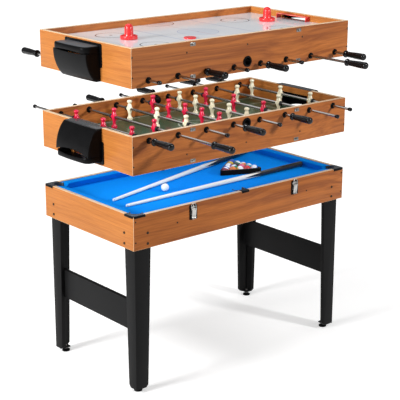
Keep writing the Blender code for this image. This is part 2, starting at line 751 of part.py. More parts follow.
def rink_goal(x_side):
    """A low hood inside an end board, over the puck slot."""
    rink_top = -(BOX_HEIGHT - RINK_DEPTH)
    inner = INNER_LENGTH
    lap = BOARD / 2
    half = RINK_GOAL_HALF_WIDTH
    wall = RINK_GOAL_WALL
    xs = sorted((x_side * (inner + lap), x_side * (inner - RINK_GOAL_REACH)))
    low = rink_top - RINK_GOAL_HEIGHT
    hood = block("hood", (xs[0], -half, low), (xs[1], half, rink_top - SEAT_GAP))
    xs = sorted((x_side * (inner + lap + OVERRUN), x_side * (inner - RINK_GOAL_REACH - OVERRUN)))
    inside = block("inside", (xs[0], wall - half, low + wall), (xs[1], half - wall, rink_top + OVERRUN))
    return combine(hood, "DIFFERENCE", [inside])


def long_board(name, y_side, parent):
    ys = sorted((y_side * INNER_WIDTH, y_side * HALF_WIDTH))
    board = block(name, (-HALF_LENGTH, ys[0], -BOX_HEIGHT), (HALF_LENGTH, ys[1], 0.0))
    combine(board, "DIFFERENCE", [long_board_holes(FOOSBALL_ENTRY_DEPTH)])
    return finish(board, name, WOOD, parent)


def end_board(name, x_side, parent):
    xs = sorted((x_side * INNER_LENGTH, x_side * HALF_LENGTH))
    half = INNER_WIDTH - SEAT_GAP
    board = block(name, (xs[0], -half, -BOX_HEIGHT), (xs[1], half, 0.0))
    combine(board, "UNION", [rink_goal(x_side)])
    combine(board, "DIFFERENCE", [end_openings()])
    return finish(board, name, WOOD, parent)


def box_frame(name, parent):
    """All four boards of the hockey box as one frame."""
    frame = block(name, (-HALF_LENGTH, -HALF_WIDTH, -BOX_HEIGHT), (HALF_LENGTH, HALF_WIDTH, 0.0))
    low, high = -BOX_HEIGHT - OVERRUN, OVERRUN
    inside = block("inside", (-INNER_LENGTH, -INNER_WIDTH, low), (INNER_LENGTH, INNER_WIDTH, high))
    combine(frame, "DIFFERENCE", [inside])
    combine(frame, "UNION", [rink_goal(-1), rink_goal(1)])
    combine(frame, "DIFFERENCE", [long_board_holes(HOCKEY_ENTRY_DEPTH), end_openings()])
    return finish(frame, name, WOOD, parent)


def playfield_deck(name, finish_values, parent):
    """The soccer board and the rink board, glued to battens that run along the box."""
    half = INNER_WIDTH - SEAT_GAP
    top, bottom = -FIELD_DEPTH - SEAT_GAP, -(BOX_HEIGHT - RINK_DEPTH)
    ends = INNER_LENGTH - SEAT_GAP
    deck = block(name, (-ends, -half, bottom), (ends, half, top))
    pitch = (2 * half - DECK_BATTEN) / (DECK_BATTENS - 1)
    hollows = []
    for i in range(DECK_BATTENS - 1):
        start = -half + DECK_BATTEN + i * pitch
        end = start + pitch - DECK_BATTEN
        low = (-ends - OVERRUN, start, bottom + DECK_BOARD)
        hollows.append(block("hollow", low, (ends + OVERRUN, end, top - DECK_BOARD)))
    combine(deck, "DIFFERENCE", [joined("hollows", hollows)])
    return finish(deck, name, finish_values, parent)


# Goal boxes
def goal_levels():
    """Height below the rim, and reach, of the hood and then of the tray."""
    slot_top = GOAL_HEIGHT - GOAL_TRAY_LIP - GOAL_SLOT
    fall = slot_top - GOAL_TOP_DROP
    hood = [(GOAL_TOP_DROP + fall * drop, GOAL_REACH * reach) for drop, reach in GOAL_HOOD_SHARES]
    tray_top = GOAL_HEIGHT - GOAL_TRAY_LIP
    tray = [(tray_top - GOAL_SLOT / 2, GOAL_REACH), (tray_top, GOAL_TRAY_REACH)]
    tray += [(GOAL_HEIGHT - GOAL_CHEEK / 2, GOAL_TRAY_REACH), (GOAL_HEIGHT, GOAL_TRAY_REACH - GOAL_CHEEK / 2)]
    return hood + tray


def goal_ring(depth, reach, half_width, back):
    """A bowed plan outline, outwards along -X from the end board's face."""
    front = [(-HALF_LENGTH - reach * share, half_width * place) for place, share in GOAL_BOW_SHARES]
    points = [(-HALF_LENGTH - back, -half_width)] + front + [(-HALF_LENGTH - back, half_width)]
    return [(x, y, -depth) for x, y in points]


def goal_box(name, turn, parent):
    """A moulded hood over a ball tray, on a flange, open to the end board and along its front slot."""
    back = SEAT_GAP + GOAL_FLANGE / 2
    levels = goal_levels()
    outer = loft("outer", [goal_ring(depth, reach, GOAL_HALF_WIDTH, back) for depth, reach in levels])
    wall = GOAL_WALL
    inner_levels = [(levels[0][0] + wall, levels[0][1])] + [(d, r - wall) for d, r in levels[1:-1]]
    inner_levels += [(levels[-1][0] - wall, levels[-1][1] - wall)]
    inner_levels[0] = (inner_levels[0][0], inner_levels[0][1] - wall)
    rings = [goal_ring(depth, reach, GOAL_HALF_WIDTH - wall, -wall) for depth, reach in inner_levels]
    inside = loft("inside", rings)
    flange = block(
        "flange",
        (-HALF_LENGTH - SEAT_GAP - GOAL_FLANGE, -GOAL_FLANGE_HALF_WIDTH, -GOAL_HEIGHT),
        (-HALF_LENGTH - SEAT_GAP, GOAL_FLANGE_HALF_WIDTH, -GOAL_TOP_DROP),
    )
    slot_low = -(GOAL_HEIGHT - GOAL_TRAY_LIP)
    slot = block(
        "slot",
        (-HALF_LENGTH - GOAL_TRAY_REACH - OVERRUN, -GOAL_FLANGE_HALF_WIDTH, slot_low),
        (-HALF_LENGTH - GOAL_CHEEK, GOAL_FLANGE_HALF_WIDTH, slot_low + GOAL_SLOT),
    )
    combine(outer, "UNION", [flange])
    combine(outer, "DIFFERENCE", [inside, slot])
    move_mesh(outer, Matrix.Rotation(turn, 4, "Z"))
    return finish(outer, name, BLACK_PLASTIC, parent)


# Rods with men, handles, caps and bumpers
def man():
    """A blocky player, feet down, with the rod through the waist."""
    rings = []
    for height_share, width_share, depth_share in MAN_SHARES:
        z = height_share * (MAN_HEAD_TOP if height_share > 0 else MAN_FOOT)
        a, b = MAN_HALF_DEPTH * depth_share, MAN_HALF_WIDTH * width_share
        rings.append([(-a, -b, z), (a, -b, z), (a, b, z), (-a, b, z)])
    return loft("man", rings)


def men_places(count):
    spacing = MEN_SPACING_SHARES[count] * INNER_WIDTH * 2
    return [(i - (count - 1) / 2) * spacing for i in range(count)]


def bumper_place(count, side):
    """The middle of a bumper, just outside the outermost man."""
    return side * (max(men_places(count)) + MAN_HALF_WIDTH + SEAT_GAP + BUMPER_LENGTH / 2)


def bumper_steps(middle):
    """A bumper's ring in a rod's turned outline."""
    start, end = middle - BUMPER_LENGTH / 2, middle + BUMPER_LENGTH / 2
    return [(start, ROD_RADIUS), (start, BUMPER_RADIUS), (end, BUMPER_RADIUS), (end, ROD_RADIUS)]


def rod_offset(share):
    """How far the men's middle stands off the table's middle line."""
    return share * INNER_WIDTH * 2


def rod_profile(men, side, offset_share, gap_share, loose_bumper):
    """The turned outline, from the handle's outer end to the far cap, with the men's middle at zero."""
    overhang = LONG_ROD_OVERHANG if men == 2 else SHORT_ROD_OVERHANG
    offset, gap = rod_offset(offset_share), overhang * gap_share
    handle = HALF_WIDTH + gap - side * offset
    far = HALF_WIDTH + overhang - gap + side * offset
    outer = handle + HANDLE_LENGTH
    neck = handle + COLLAR_LENGTH
    grip = neck + NECK_LENGTH
    bumper_middle = bumper_place(men, 1)
    profile = [
        (-outer, HANDLE_RADIUS * HANDLE_END_SHARE),
        (-outer + HANDLE_ROUNDING, HANDLE_RADIUS),
        (-grip, HANDLE_RADIUS * HANDLE_WAIST_SHARE),
        (-neck, NECK_RADIUS),
        (-neck, COLLAR_RADIUS),
        (-handle, COLLAR_RADIUS),
        (-handle, ROD_RADIUS),
    ]
    if not loose_bumper:
        profile += bumper_steps(-bumper_middle)
    profile += bumper_steps(bumper_middle)
    profile += [
        (far - CAP_LENGTH, ROD_RADIUS),
        (far - CAP_LENGTH, CAP_RADIUS),
        (far, CAP_RADIUS * CAP_END_SHARE),
    ]
    return [(-side * along, radius) for along, radius in profile]


def player_rod(name, number, table, parent, loose_bumper=True, spin=0.0):
    men, side, offset_share, gap_share = table[number]
    rod = turned(name, rod_profile(men, side, offset_share, gap_share, loose_bumper), ROUND_SIDES, "Y")
    figures = [move_mesh(man(), Matrix.Translation((0.0, y, 0.0))) for y in men_places(men)]
    combine(rod, "UNION", [joined("men", figures)])
    rod.location = (rod_x(number), rod_offset(offset_share), -ROD_DEPTH)
    rod.rotation_euler = (0.0, spin, 0.0)
    return finish(rod, name, STEEL, parent, smooth=True)


def bumper(name, number, table, parent):
    """The loose rubber ring on the handle's side of the men."""
    men, side, offset_share, _ = table[number]
    half = BUMPER_LENGTH / 2
    ring = turned(name, ((-half, BUMPER_RADIUS), (half, BUMPER_RADIUS)), ROUND_SIDES, "Y")
    bore_radius = (ROD_RADIUS + RUN_GAP) / math.cos(math.pi / ROUND_SIDES)
    bore = prism("bore", circle(bore_radius, ROUND_SIDES), -half - OVERRUN, half + OVERRUN, "Y")
    combine(ring, "DIFFERENCE", [bore])
    ring.location = (rod_x(number), rod_offset(offset_share) + bumper_place(men, side), -ROD_DEPTH)
    return finish(ring, name, RUBBER, parent, smooth=True)


def pusher(name, place, parent):
    """A hand pusher that stands on the rink."""
    shoulder = PUSHER_BASE_HEIGHT + PUSHER_EDGE
    profile = (
        (0.0, PUSHER_RADIUS),
        (PUSHER_BASE_HEIGHT, PUSHER_RADIUS),
        (shoulder, PUSHER_RADIUS - PUSHER_EDGE),
        (shoulder, PUSHER_WAIST_RADIUS),
        (PUSHER_HEIGHT - PUSHER_KNOB_RADIUS, PUSHER_KNOB_RADIUS),
        (PUSHER_HEIGHT - PUSHER_KNOB_RADIUS / 3, PUSHER_KNOB_RADIUS * PUSHER_CROWN_SHARE),
        (PUSHER_HEIGHT, PUSHER_KNOB_RADIUS * PUSHER_TOP_SHARE),
    )
    made = turned(name, profile, PUSHER_SIDES, "Z")
    rink = HOCKEY_BOTTOM + BOX_HEIGHT - RINK_DEPTH
    made.location = (*place, rink + SEAT_GAP)
    return finish(made, name, RED_PLASTIC, parent, smooth=True)


def build_pool_base():
    base = holder("pool_base", (0.0, 0.0, 0.0))
    long_apron("front_apron", -1, base)
    long_apron("back_apron", 1, base)
    end_apron("left_apron", -1, base)
    end_apron("right_apron", 1, base)
    pool_bed(base)
    cushion_frame(base)
    for end, x_side in (("left", -1), ("right", 1)):
        leg_end_panel(f"{end}_leg_panel", x_side, base)
        for face, y_side in (("front", -1), ("back", 1)):
            leg(f"{face}_{end}_leg", x_side, y_side, base)
            foot(f"{face}_{end}_foot", x_side, y_side, base)
            latch_lever(f"{face}_{end}_latch_lever", x_side * LATCH_SPREAD, y_side, base)
    cue("back_cue", on_table(BACK_CUE_TIP_SHARES), BACK_CUE_BUTT_SHARE, base)
    cue("front_cue", on_table(FRONT_CUE_TIP_SHARES), FRONT_CUE_BUTT_SHARE, base)
    ball_rack(base)


def build_foosball_box():
    box = holder("foosball_box", (0.0, 0.0, FOOSBALL_TOP))
    long_board("foosball_front_board", -1, box)
    long_board("foosball_back_board", 1, box)
    end_board("foosball_left_board", -1, box)
    end_board("foosball_right_board", 1, box)
    playfield_deck("foosball_deck", GREEN_FIELD, box)
    goal_box("foosball_left_goal_box", 0.0, box)
    goal_box("foosball_right_goal_box", math.pi, box)
    for number in FOOSBALL_RODS:
        player_rod(f"foosball_rod_{number}", number, FOOSBALL_RODS, box)
        bumper(f"foosball_bumper_{number}", number, FOOSBALL_RODS, box)


def build_hockey_box():
    box = holder("hockey_box", (0.0, 0.0, HOCKEY_BOTTOM), turn_about_x=math.pi)
    box_frame("hockey_frame", box)
    playfield_deck("hockey_deck", WHITE_RINK, box)
    goal_box("hockey_left_goal_box", 0.0, box)
    goal_box("hockey_right_goal_box", math.pi, box)
    for number in HOCKEY_RODS:
        player_rod(f"hockey_rod_{number}", number, HOCKEY_RODS, box, loose_bumper=False, spin=math.pi / 2)
    pusher("left_pusher", on_table(LEFT_PUSHER_SHARES), None)
    pusher("right_pusher", on_table(RIGHT_PUSHER_SHARES), None)


clear_scene()
build_pool_base()
build_foosball_box()
build_hockey_box()
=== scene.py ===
"""Multi game table: its looks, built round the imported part.

Metres, +Z up, X along the table, -Y its front. The pool base stands on the floor, the foosball box
hangs above it, and the hockey box, which is the same box turned over, hangs above that.
"""

import math

import bmesh
import bpy
from mathutils import Matrix, Vector


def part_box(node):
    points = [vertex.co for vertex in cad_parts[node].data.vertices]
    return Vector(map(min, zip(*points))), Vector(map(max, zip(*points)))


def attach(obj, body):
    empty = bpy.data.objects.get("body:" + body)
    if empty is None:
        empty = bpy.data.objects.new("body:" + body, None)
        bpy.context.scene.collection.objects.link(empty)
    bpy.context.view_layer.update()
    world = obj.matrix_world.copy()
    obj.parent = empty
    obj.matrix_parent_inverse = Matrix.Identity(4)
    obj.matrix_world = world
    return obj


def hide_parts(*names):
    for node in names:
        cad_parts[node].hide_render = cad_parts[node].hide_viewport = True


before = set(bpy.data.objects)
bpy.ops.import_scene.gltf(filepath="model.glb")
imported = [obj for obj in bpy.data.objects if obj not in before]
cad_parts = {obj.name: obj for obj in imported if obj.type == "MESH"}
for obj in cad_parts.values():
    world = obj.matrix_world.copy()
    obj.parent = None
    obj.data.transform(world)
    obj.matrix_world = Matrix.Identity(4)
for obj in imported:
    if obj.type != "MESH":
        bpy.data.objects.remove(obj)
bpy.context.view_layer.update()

# Sizes of the table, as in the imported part
HALF_LENGTH = 0.535
HALF_WIDTH = 0.285
BOARD = 0.015
INNER_LENGTH = HALF_LENGTH - BOARD
INNER_WIDTH = HALF_WIDTH - BOARD
BASE_TOP = 0.700
APRON_BOTTOM = 0.570
BED_TOP = 0.673
FOOSBALL_RIM = 0.990
HOCKEY_RIM = 1.159
BOX_HEIGHT = 0.141
ROD_DEPTH = 0.023
FOOSBALL_ROD_HEIGHT = FOOSBALL_RIM - ROD_DEPTH
HOCKEY_ROD_HEIGHT = HOCKEY_RIM + ROD_DEPTH
RINK_HEIGHT = 1.2733
ROD_SPACING = 0.132
ROD_RADIUS = 0.005
POCKET_RADIUS = 0.0235
LIP_RADIUS, LIP_THICK, LIP_DROP = 0.0229, 0.0027, 0.0085
POCKET_X, POCKET_Y = 0.4934, 0.2434
LATCH_X, LATCH_PIVOT = 0.260, 0.678
CUE_LENGTH = 0.914
BALL_RADIUS = 0.0155

# Rod number to: men, handle side (-1 front), men's middle, gap from the wall to the handle's collar
FOOSBALL_RODS = {
    1: (3, -1, -0.011, 0.029),
    2: (2, -1, -0.022, 0.196),
    3: (3, 1, 0.006, 0.080),
    4: (5, -1, -0.002, 0.066),
    5: (5, 1, -0.009, 0.085),
    6: (3, -1, 0.011, 0.040),
    7: (2, 1, 0.014, 0.126),
    8: (3, 1, 0.017, 0.102),
}
HOCKEY_RODS = {
    1: (3, 1, 0.060, 0.135),
    2: (2, 1, 0.012, 0.167),
    3: (3, -1, 0.064, 0.007),
    4: (5, 1, 0.041, 0.124),
    5: (5, -1, 0.037, 0.042),
    6: (3, 1, 0.037, 0.112),
    7: (2, -1, -0.035, 0.190),
    8: (3, -1, 0.017, 0.058),
}
RED_RODS = (1, 2, 4, 6)
MEN_SPACING = {2: 0.250, 3: 0.175, 5: 0.102}
# How far a rod with its men count reaches out of both walls together
OVERHANG = {2: 0.286, 3: 0.205, 5: 0.205}
# Width of the soft edge of a printed line
LINE_SOFT = 0.0006


# Node and material helpers
def add_node(tree, kind, inputs=None, **settings):
    """A node with its settings, and its inputs filled from values or sockets."""
    node = tree.nodes.new(kind)
    for name, value in settings.items():
        setattr(node, name, value)
    for key, value in (inputs or {}).items():
        if isinstance(value, bpy.types.NodeSocket):
            tree.links.new(value, node.inputs[key])
        else:
            node.inputs[key].default_value = value
    return node


def shaded(name, roughness=0.5, metallic=0.0, coat=0.0, specular=0.5, coat_roughness=0.1):
    """A new material, its tree, its shader and its object coordinates."""
    material = bpy.data.materials.new(name)
    material.use_nodes = True
    tree = material.node_tree
    shader = tree.nodes["Principled BSDF"]
    shader.inputs["Roughness"].default_value = roughness
    shader.inputs["Metallic"].default_value = metallic
    shader.inputs["Coat Weight"].default_value = coat
    shader.inputs["Coat Roughness"].default_value = coat_roughness
    shader.inputs["Specular IOR Level"].default_value = specular
    place = add_node(tree, "ShaderNodeTexCoord").outputs["Object"]
    return material, tree, shader, place


def mapped(tree, place, scale=(1, 1, 1), turn=(0, 0, 0), shift=(0, 0, 0)):
    inputs = {"Vector": place, "Scale": scale, "Rotation": turn, "Location": shift}
    return add_node(tree, "ShaderNodeMapping", inputs).outputs["Vector"]


def noise(tree, place, scale, detail=3.0, roughness=0.5):
    inputs = {"Vector": place, "Scale": scale, "Detail": detail, "Roughness": roughness}
    return add_node(tree, "ShaderNodeTexNoise", inputs).outputs["Fac"]


def maths(tree, operation, a, b=0.0, clamp=False):
    return add_node(tree, "ShaderNodeMath", {0: a, 1: b}, operation=operation, use_clamp=clamp).outputs[0]


def times(tree, a, b):
    return maths(tree, "MULTIPLY", a, b)


def combined(tree, **parts):
    """A vector from its X, Y and Z, each a value or a socket."""
    return add_node(tree, "ShaderNodeCombineXYZ", parts).outputs[0]


def x_and_y(tree, place):
    parts = add_node(tree, "ShaderNodeSeparateXYZ", {"Vector": place}).outputs
    return parts["X"], parts["Y"]


def ramp(tree, value, stops):
    """A colour ramp with stops of (place, colour)."""
    node = add_node(tree, "ShaderNodeValToRGB", {"Fac": value})
    elements = node.color_ramp.elements
    for i, (at, colour) in enumerate(stops):
        element = elements[i] if i < 2 else elements.new(at)
        element.position = at
        element.color = (*colour, 1.0)
    return node.outputs["Color"]


def span(tree, value, low, high, start=0.0, end=1.0):
    """Map a value from one range to another, held at its ends."""
    inputs = {"Value": value, "From Min": low, "From Max": high, "To Min": start, "To Max": end}
    return add_node(tree, "ShaderNodeMapRange", inputs).outputs["Result"]


def blended(tree, share, first, second, how="MIX"):
    """Mix two colours, each a colour value or a socket."""
    node = add_node(tree, "ShaderNodeMix", data_type="RGBA", blend_type=how)
    for key, value in ((0, share), (6, first), (7, second)):
        if isinstance(value, bpy.types.NodeSocket):
            tree.links.new(value, node.inputs[key])
        else:
            node.inputs[key].default_value = value if key == 0 else (*value, 1.0)
    return node.outputs[2]


def bumped(tree, shader, height, distance, strength=1.0):
    inputs = {"Height": height, "Distance": distance, "Strength": strength}
    tree.links.new(add_node(tree, "ShaderNodeBump", inputs).outputs["Normal"], shader.inputs["Normal"])


def colour_to(tree, shader, colour):
    tree.links.new(colour, shader.inputs["Base Color"])


def rough_to(tree, shader, value, low, high):
    tree.links.new(span(tree, value, 0.2, 0.8, low, high), shader.inputs["Roughness"])


# Finishes
def cherry_board(name, grain, shift, light, dark, waves, bend):
    """Printed cherry wood: streaks of two widths along the grain's axis, which drift together, and fibres."""
    material, tree, shader, place = shaded(name, roughness=0.45, specular=0.25)
    turn = (0, 0, 0) if grain == "X" else (0, 0, math.radians(-90))
    along = mapped(tree, place, turn=turn, shift=shift)
    slow = noise(tree, mapped(tree, along, scale=(1.7, 2.6, 2.6)), 1.0, detail=1.0)
    drift = times(tree, slow, bend)
    aside = combined(tree, Y=drift, Z=drift)
    bent = add_node(tree, "ShaderNodeVectorMath", {0: along, 1: aside}, operation="ADD").outputs["Vector"]
    wide = noise(tree, mapped(tree, bent, scale=(1.1, 48, 48)), 1.0, detail=2.0, roughness=0.5)
    narrow = noise(tree, mapped(tree, bent, scale=(2.6, 150, 150)), 1.0, detail=4.0, roughness=0.6)
    share = blended(tree, waves, span(tree, narrow, 0.30, 0.70), span(tree, wide, 0.34, 0.66))
    pores = noise(tree, mapped(tree, along, scale=(12, 520, 520)), 1.0, detail=4.0, roughness=0.6)
    patches = noise(tree, mapped(tree, along, scale=(2.2, 10, 10)), 1.0, detail=2.0)
    middle = tuple(0.62 * a + 0.38 * b for a, b in zip(light, dark))
    grain_colour = ramp(tree, share, [(0.12, dark), (0.85, light), (0.5, middle)])
    fibres = ramp(tree, pores, [(0.35, (0.84, 0.81, 0.78)), (0.62, (1.05, 1.04, 1.03))])
    toned = blended(tree, 1.0, grain_colour, fibres, "MULTIPLY")
    broad = ramp(tree, patches, [(0.3, (0.93, 0.91, 0.88)), (0.7, (1.06, 1.07, 1.08))])
    colour_to(tree, shader, blended(tree, 1.0, toned, broad, "MULTIPLY"))
    rough_to(tree, shader, pores, 0.40, 0.52)
    bumped(tree, shader, pores, 0.0001, 0.3)
    return material


def pale_edge_and_highlight():
    """A pale band along a board's rim and rounded edges: partly the board's edge band, partly a painted
    highlight along the edges.
    """
    material, tree, shader, place = shaded("pale_edge_and_highlight", roughness=0.5)
    streaks = noise(tree, mapped(tree, place, scale=(30, 30, 300)), 1.0, detail=3.0)
    colour_to(tree, shader, ramp(tree, streaks, [(0.3, (0.74, 0.51, 0.31)), (0.7, (0.84, 0.64, 0.44))]))
    bumped(tree, shader, streaks, 0.0001, 0.3)
    return material


def black_board():
    """Black laminate with a fine pressed texture."""
    material, tree, shader, place = shaded("black_board", roughness=0.48, specular=0.10)
    grit = noise(tree, place, 900.0, detail=2.0)
    drift = noise(tree, mapped(tree, place, scale=(9, 9, 3)), 1.0, detail=3.0)
    stops = [(0.3, (0.0045, 0.0045, 0.0047)), (0.7, (0.0075, 0.0075, 0.0078))]
    colour_to(tree, shader, ramp(tree, drift, stops))
    rough_to(tree, shader, drift, 0.42, 0.55)
    bumped(tree, shader, grit, 0.00012, 0.35)
    return material


def billiard_cloth():
    """Bright blue napped cloth with a fine twill."""
    material, tree, shader, place = shaded("billiard_cloth", roughness=0.9, specular=0.04)
    nap = noise(tree, place, 700.0, detail=4.0, roughness=0.65)
    wear = noise(tree, place, 6.0, detail=3.0)
    slant = mapped(tree, place, turn=(0, 0, 0.78))
    twill = add_node(tree, "ShaderNodeTexWave", {"Vector": slant, "Scale": 260.0})
    mixed = blended(tree, 0.5, nap, twill.outputs["Fac"])
    fine = ramp(tree, mixed, [(0.25, (0.001, 0.235, 0.72)), (0.75, (0.003, 0.290, 0.86))])
    broad = ramp(tree, wear, [(0.35, (0.94, 0.95, 0.96)), (0.65, (1.0, 1.0, 1.0))])
    colour_to(tree, shader, blended(tree, 1.0, fine, broad, "MULTIPLY"))
    bumped(tree, shader, mixed, 0.00015, 0.4)
    return material


def moulded_plastic(name, tint, low, high, specular):
    """Moulded plastic with a faint satin grain."""
    material, tree, shader, place = shaded(name, roughness=0.3, specular=specular)
    grain = noise(tree, place, 1400.0, detail=2.0)
    flow = noise(tree, place, 28.0, detail=3.0)
    darker = tuple(0.8 * c for c in tint)
    colour_to(tree, shader, ramp(tree, flow, [(0.3, darker), (0.7, tint)]))
    rough_to(tree, shader, flow, low, high)
    bumped(tree, shader, grain, 0.00004, 0.3)
    return material


def coloured_plastic(name, pale, deep):
    """Glossy moulded plastic with slight flow marks."""
    material, tree, shader, place = shaded(name, roughness=0.28, coat=0.15)
    flow = noise(tree, place, 60.0, detail=3.0)
    speck = noise(tree, place, 1200.0, detail=2.0)
    colour_to(tree, shader, ramp(tree, flow, [(0.3, deep), (0.7, pale)]))
    rough_to(tree, shader, flow, 0.24, 0.34)
    bumped(tree, shader, speck, 0.00003, 0.25)
    return material


def plated_metal(name, pale, deep, low, high, scale):
    """Bright metal with fine drawn scratches."""
    material, tree, shader, place = shaded(name, roughness=0.2, metallic=1.0)
    drawn = noise(tree, mapped(tree, place, scale=scale), 1.0, detail=4.0, roughness=0.6)
    colour_to(tree, shader, ramp(tree, drawn, [(0.3, deep), (0.7, pale)]))
    rough_to(tree, shader, drawn, low, high)
    bumped(tree, shader, drawn, 0.00003, 0.3)
    return material


def rubber_finish():
    material, tree, shader, place = shaded("rubber_ring", roughness=0.7, specular=0.3)
    dust = noise(tree, place, 500.0, detail=3.0)
    colour_to(tree, shader, ramp(tree, dust, [(0.3, (0.012, 0.012, 0.012)), (0.7, (0.022, 0.022, 0.022))]))
    rough_to(tree, shader, dust, 0.6, 0.8)
    bumped(tree, shader, dust, 0.0001, 0.3)
    return material


def line_mask(tree, value, at, half):
    """One where a value lies within half of a place, with a soft edge."""
    off = maths(tree, "ABSOLUTE", maths(tree, "SUBTRACT", value, at))
    return span(tree, off, half, half + LINE_SOFT, 1.0, 0.0)


def within(tree, value, limit, soft=LINE_SOFT):
    """One where the size of a value is under a limit."""
    return span(tree, maths(tree, "ABSOLUTE", value), limit, limit + soft, 1.0, 0.0)


def far_from(tree, x, y, at):
    """Distance from a point. Given sizes instead of x and y, it is measured alike in every quarter."""
    dx = maths(tree, "SUBTRACT", x, at[0])
    dy = maths(tree, "SUBTRACT", y, at[1])
    squares = maths(tree, "ADD", times(tree, dx, dx), times(tree, dy, dy))
    return maths(tree, "SQRT", squares)


def joined_masks(tree, masks):
    total = masks[0]
    for mask in masks[1:]:
        total = maths(tree, "MAXIMUM", total, mask)
    return total


def green_pitch():
    """Dark green field board with white soccer lines."""
    material, tree, shader, place = shaded("green_pitch", roughness=0.3, coat=0.15, specular=0.4)
    x, y = x_and_y(tree, place)
    ax, ay = maths(tree, "ABSOLUTE", x), maths(tree, "ABSOLUTE", y)
    line = 0.0015
    edge_x = times(tree, line_mask(tree, ax, 0.500, line), within(tree, y, 0.252))
    edge_y = times(tree, line_mask(tree, ay, 0.250, line), within(tree, x, 0.500))
    halfway = times(tree, line_mask(tree, x, 0.0, line), within(tree, y, 0.250))
    circle = line_mask(tree, far_from(tree, x, y, (0.0, 0.0)), 0.075, line)
    spot = within(tree, far_from(tree, x, y, (0.0, 0.0)), 0.004)
    marks = [edge_x, edge_y, halfway, circle, spot]
    for reach, half in ((0.130, 0.150), (0.055, 0.085)):
        front = times(tree, line_mask(tree, ax, 0.500 - reach, line), within(tree, y, half))
        beyond = span(tree, ax, 0.500 - reach, 0.5006 - reach)
        reached = times(tree, beyond, within(tree, x, 0.500))
        marks += [front, times(tree, line_mask(tree, ay, half, line), reached)]
    lines = joined_masks(tree, marks)
    mottle = noise(tree, place, 240.0, detail=4.0)
    turf = ramp(tree, mottle, [(0.3, (0.008, 0.058, 0.030)), (0.7, (0.016, 0.088, 0.048))])
    colour_to(tree, shader, blended(tree, lines, turf, (0.55, 0.60, 0.55)))
    rough_to(tree, shader, mottle, 0.24, 0.36)
    bumped(tree, shader, mottle, 0.00004, 0.3)
    return material


def rink_print():
    """Glossy white rink with the usual lines and face-off circles."""
    material, tree, shader, place = shaded("rink_print", roughness=0.16, coat=0.25, coat_roughness=0.07)
    x, y = x_and_y(tree, place)
    ax, ay = maths(tree, "ABSOLUTE", x), maths(tree, "ABSOLUTE", y)
    corner = far_from(tree, ax, ay, (0.313, 0.139))
    rings = line_mask(tree, corner, 0.058, 0.0020)
    dots = within(tree, corner, 0.0060)
    middle = far_from(tree, x, y, (0.0, 0.0))
    blue_marks = [line_mask(tree, middle, 0.080, 0.0014), line_mask(tree, ax, 0.170, 0.003)]
    blue_marks = joined_masks(tree, blue_marks + [within(tree, middle, 0.005)])
    crease = line_mask(tree, far_from(tree, ax, y, (0.520, 0.0)), 0.120, 0.0013)
    side_arc = far_from(tree, x, ay, (0.0, 0.270))
    arc_fill = within(tree, side_arc, 0.075)
    centre_fill = within(tree, middle, 0.080)
    red_marks = joined_masks(tree, [line_mask(tree, x, 0.0, 0.0025), crease])
    haze = noise(tree, place, 5.0, detail=2.0)
    speck = noise(tree, place, 900.0, detail=2.0)
    ice = ramp(tree, haze, [(0.35, (0.82, 0.85, 0.90)), (0.65, (0.88, 0.90, 0.94))])
    cool = blended(tree, times(tree, centre_fill, 0.22), ice, (0.45, 0.58, 0.84))
    tinted = blended(tree, times(tree, arc_fill, 0.35), cool, (0.62, 0.42, 0.40))
    with_red = blended(tree, times(tree, red_marks, 0.28), tinted, (0.62, 0.06, 0.08))
    with_blue = blended(tree, times(tree, blue_marks, 0.42), with_red, (0.16, 0.26, 0.60))
    dark_marks = joined_masks(tree, [rings, dots, line_mask(tree, side_arc, 0.075, 0.0014)])
    dark_marks = times(tree, dark_marks, 0.9)
    colour_to(tree, shader, blended(tree, dark_marks, with_blue, (0.05, 0.05, 0.06)))
    rough_to(tree, shader, haze, 0.13, 0.19)
    bumped(tree, shader, speck, 0.00002, 0.15)
    return material


def raw_board():
    """Brown hardboard, for the undersides."""
    material, tree, shader, place = shaded("raw_board", roughness=0.75, specular=0.2)
    felted = noise(tree, place, 180.0, detail=5.0, roughness=0.65)
    colour_to(tree, shader, ramp(tree, felted, [(0.3, (0.16, 0.085, 0.045)), (0.7, (0.26, 0.15, 0.085))]))
    bumped(tree, shader, felted, 0.0002, 0.4)
    return material


def cue_lacquer():
    """White shaft and black butt with pointed splices. The UV map holds share round and length along."""
    material, tree, shader, _ = shaded("cue_lacquer", roughness=0.2, coat=0.4, coat_roughness=0.08)
    uv = add_node(tree, "ShaderNodeUVMap", uv_map="cue").outputs["UV"]
    around, along = x_and_y(tree, uv)
    teeth = maths(tree, "PINGPONG", times(tree, around, 4.0), 0.5)
    points = maths(tree, "SUBTRACT", along, times(tree, teeth, 0.18))
    butt = span(tree, points, 0.589, 0.5905)
    veneer = maths(tree, "SUBTRACT", span(tree, points, 0.582, 0.5835), butt)
    streaks = noise(tree, mapped(tree, uv, scale=(30, 6, 1)), 1.0, detail=3.0)
    shaft = ramp(tree, streaks, [(0.3, (0.93, 0.87, 0.72)), (0.7, (0.97, 0.92, 0.79))])
    black = ramp(tree, streaks, [(0.3, (0.010, 0.010, 0.011)), (0.7, (0.020, 0.019, 0.018))])
    with_veneer = blended(tree, veneer, shaft, (0.50, 0.42, 0.26))
    wood = blended(tree, butt, with_veneer, black)
    ferrule = span(tree, along, 0.0175, 0.0165)
    tip = span(tree, along, 0.0062, 0.0056)
    with_ferrule = blended(tree, ferrule, wood, (0.88, 0.88, 0.86))
    bumper = span(tree, along, CUE_LENGTH - 0.016, CUE_LENGTH - 0.0155)
    with_tip = blended(tree, tip, with_ferrule, (0.55, 0.62, 0.66))
    colour_to(tree, shader, blended(tree, bumper, with_tip, (0.012, 0.012, 0.012)))
    rough_to(tree, shader, streaks, 0.17, 0.24)
    bumped(tree, shader, streaks, 0.00004, 0.2)
    return material


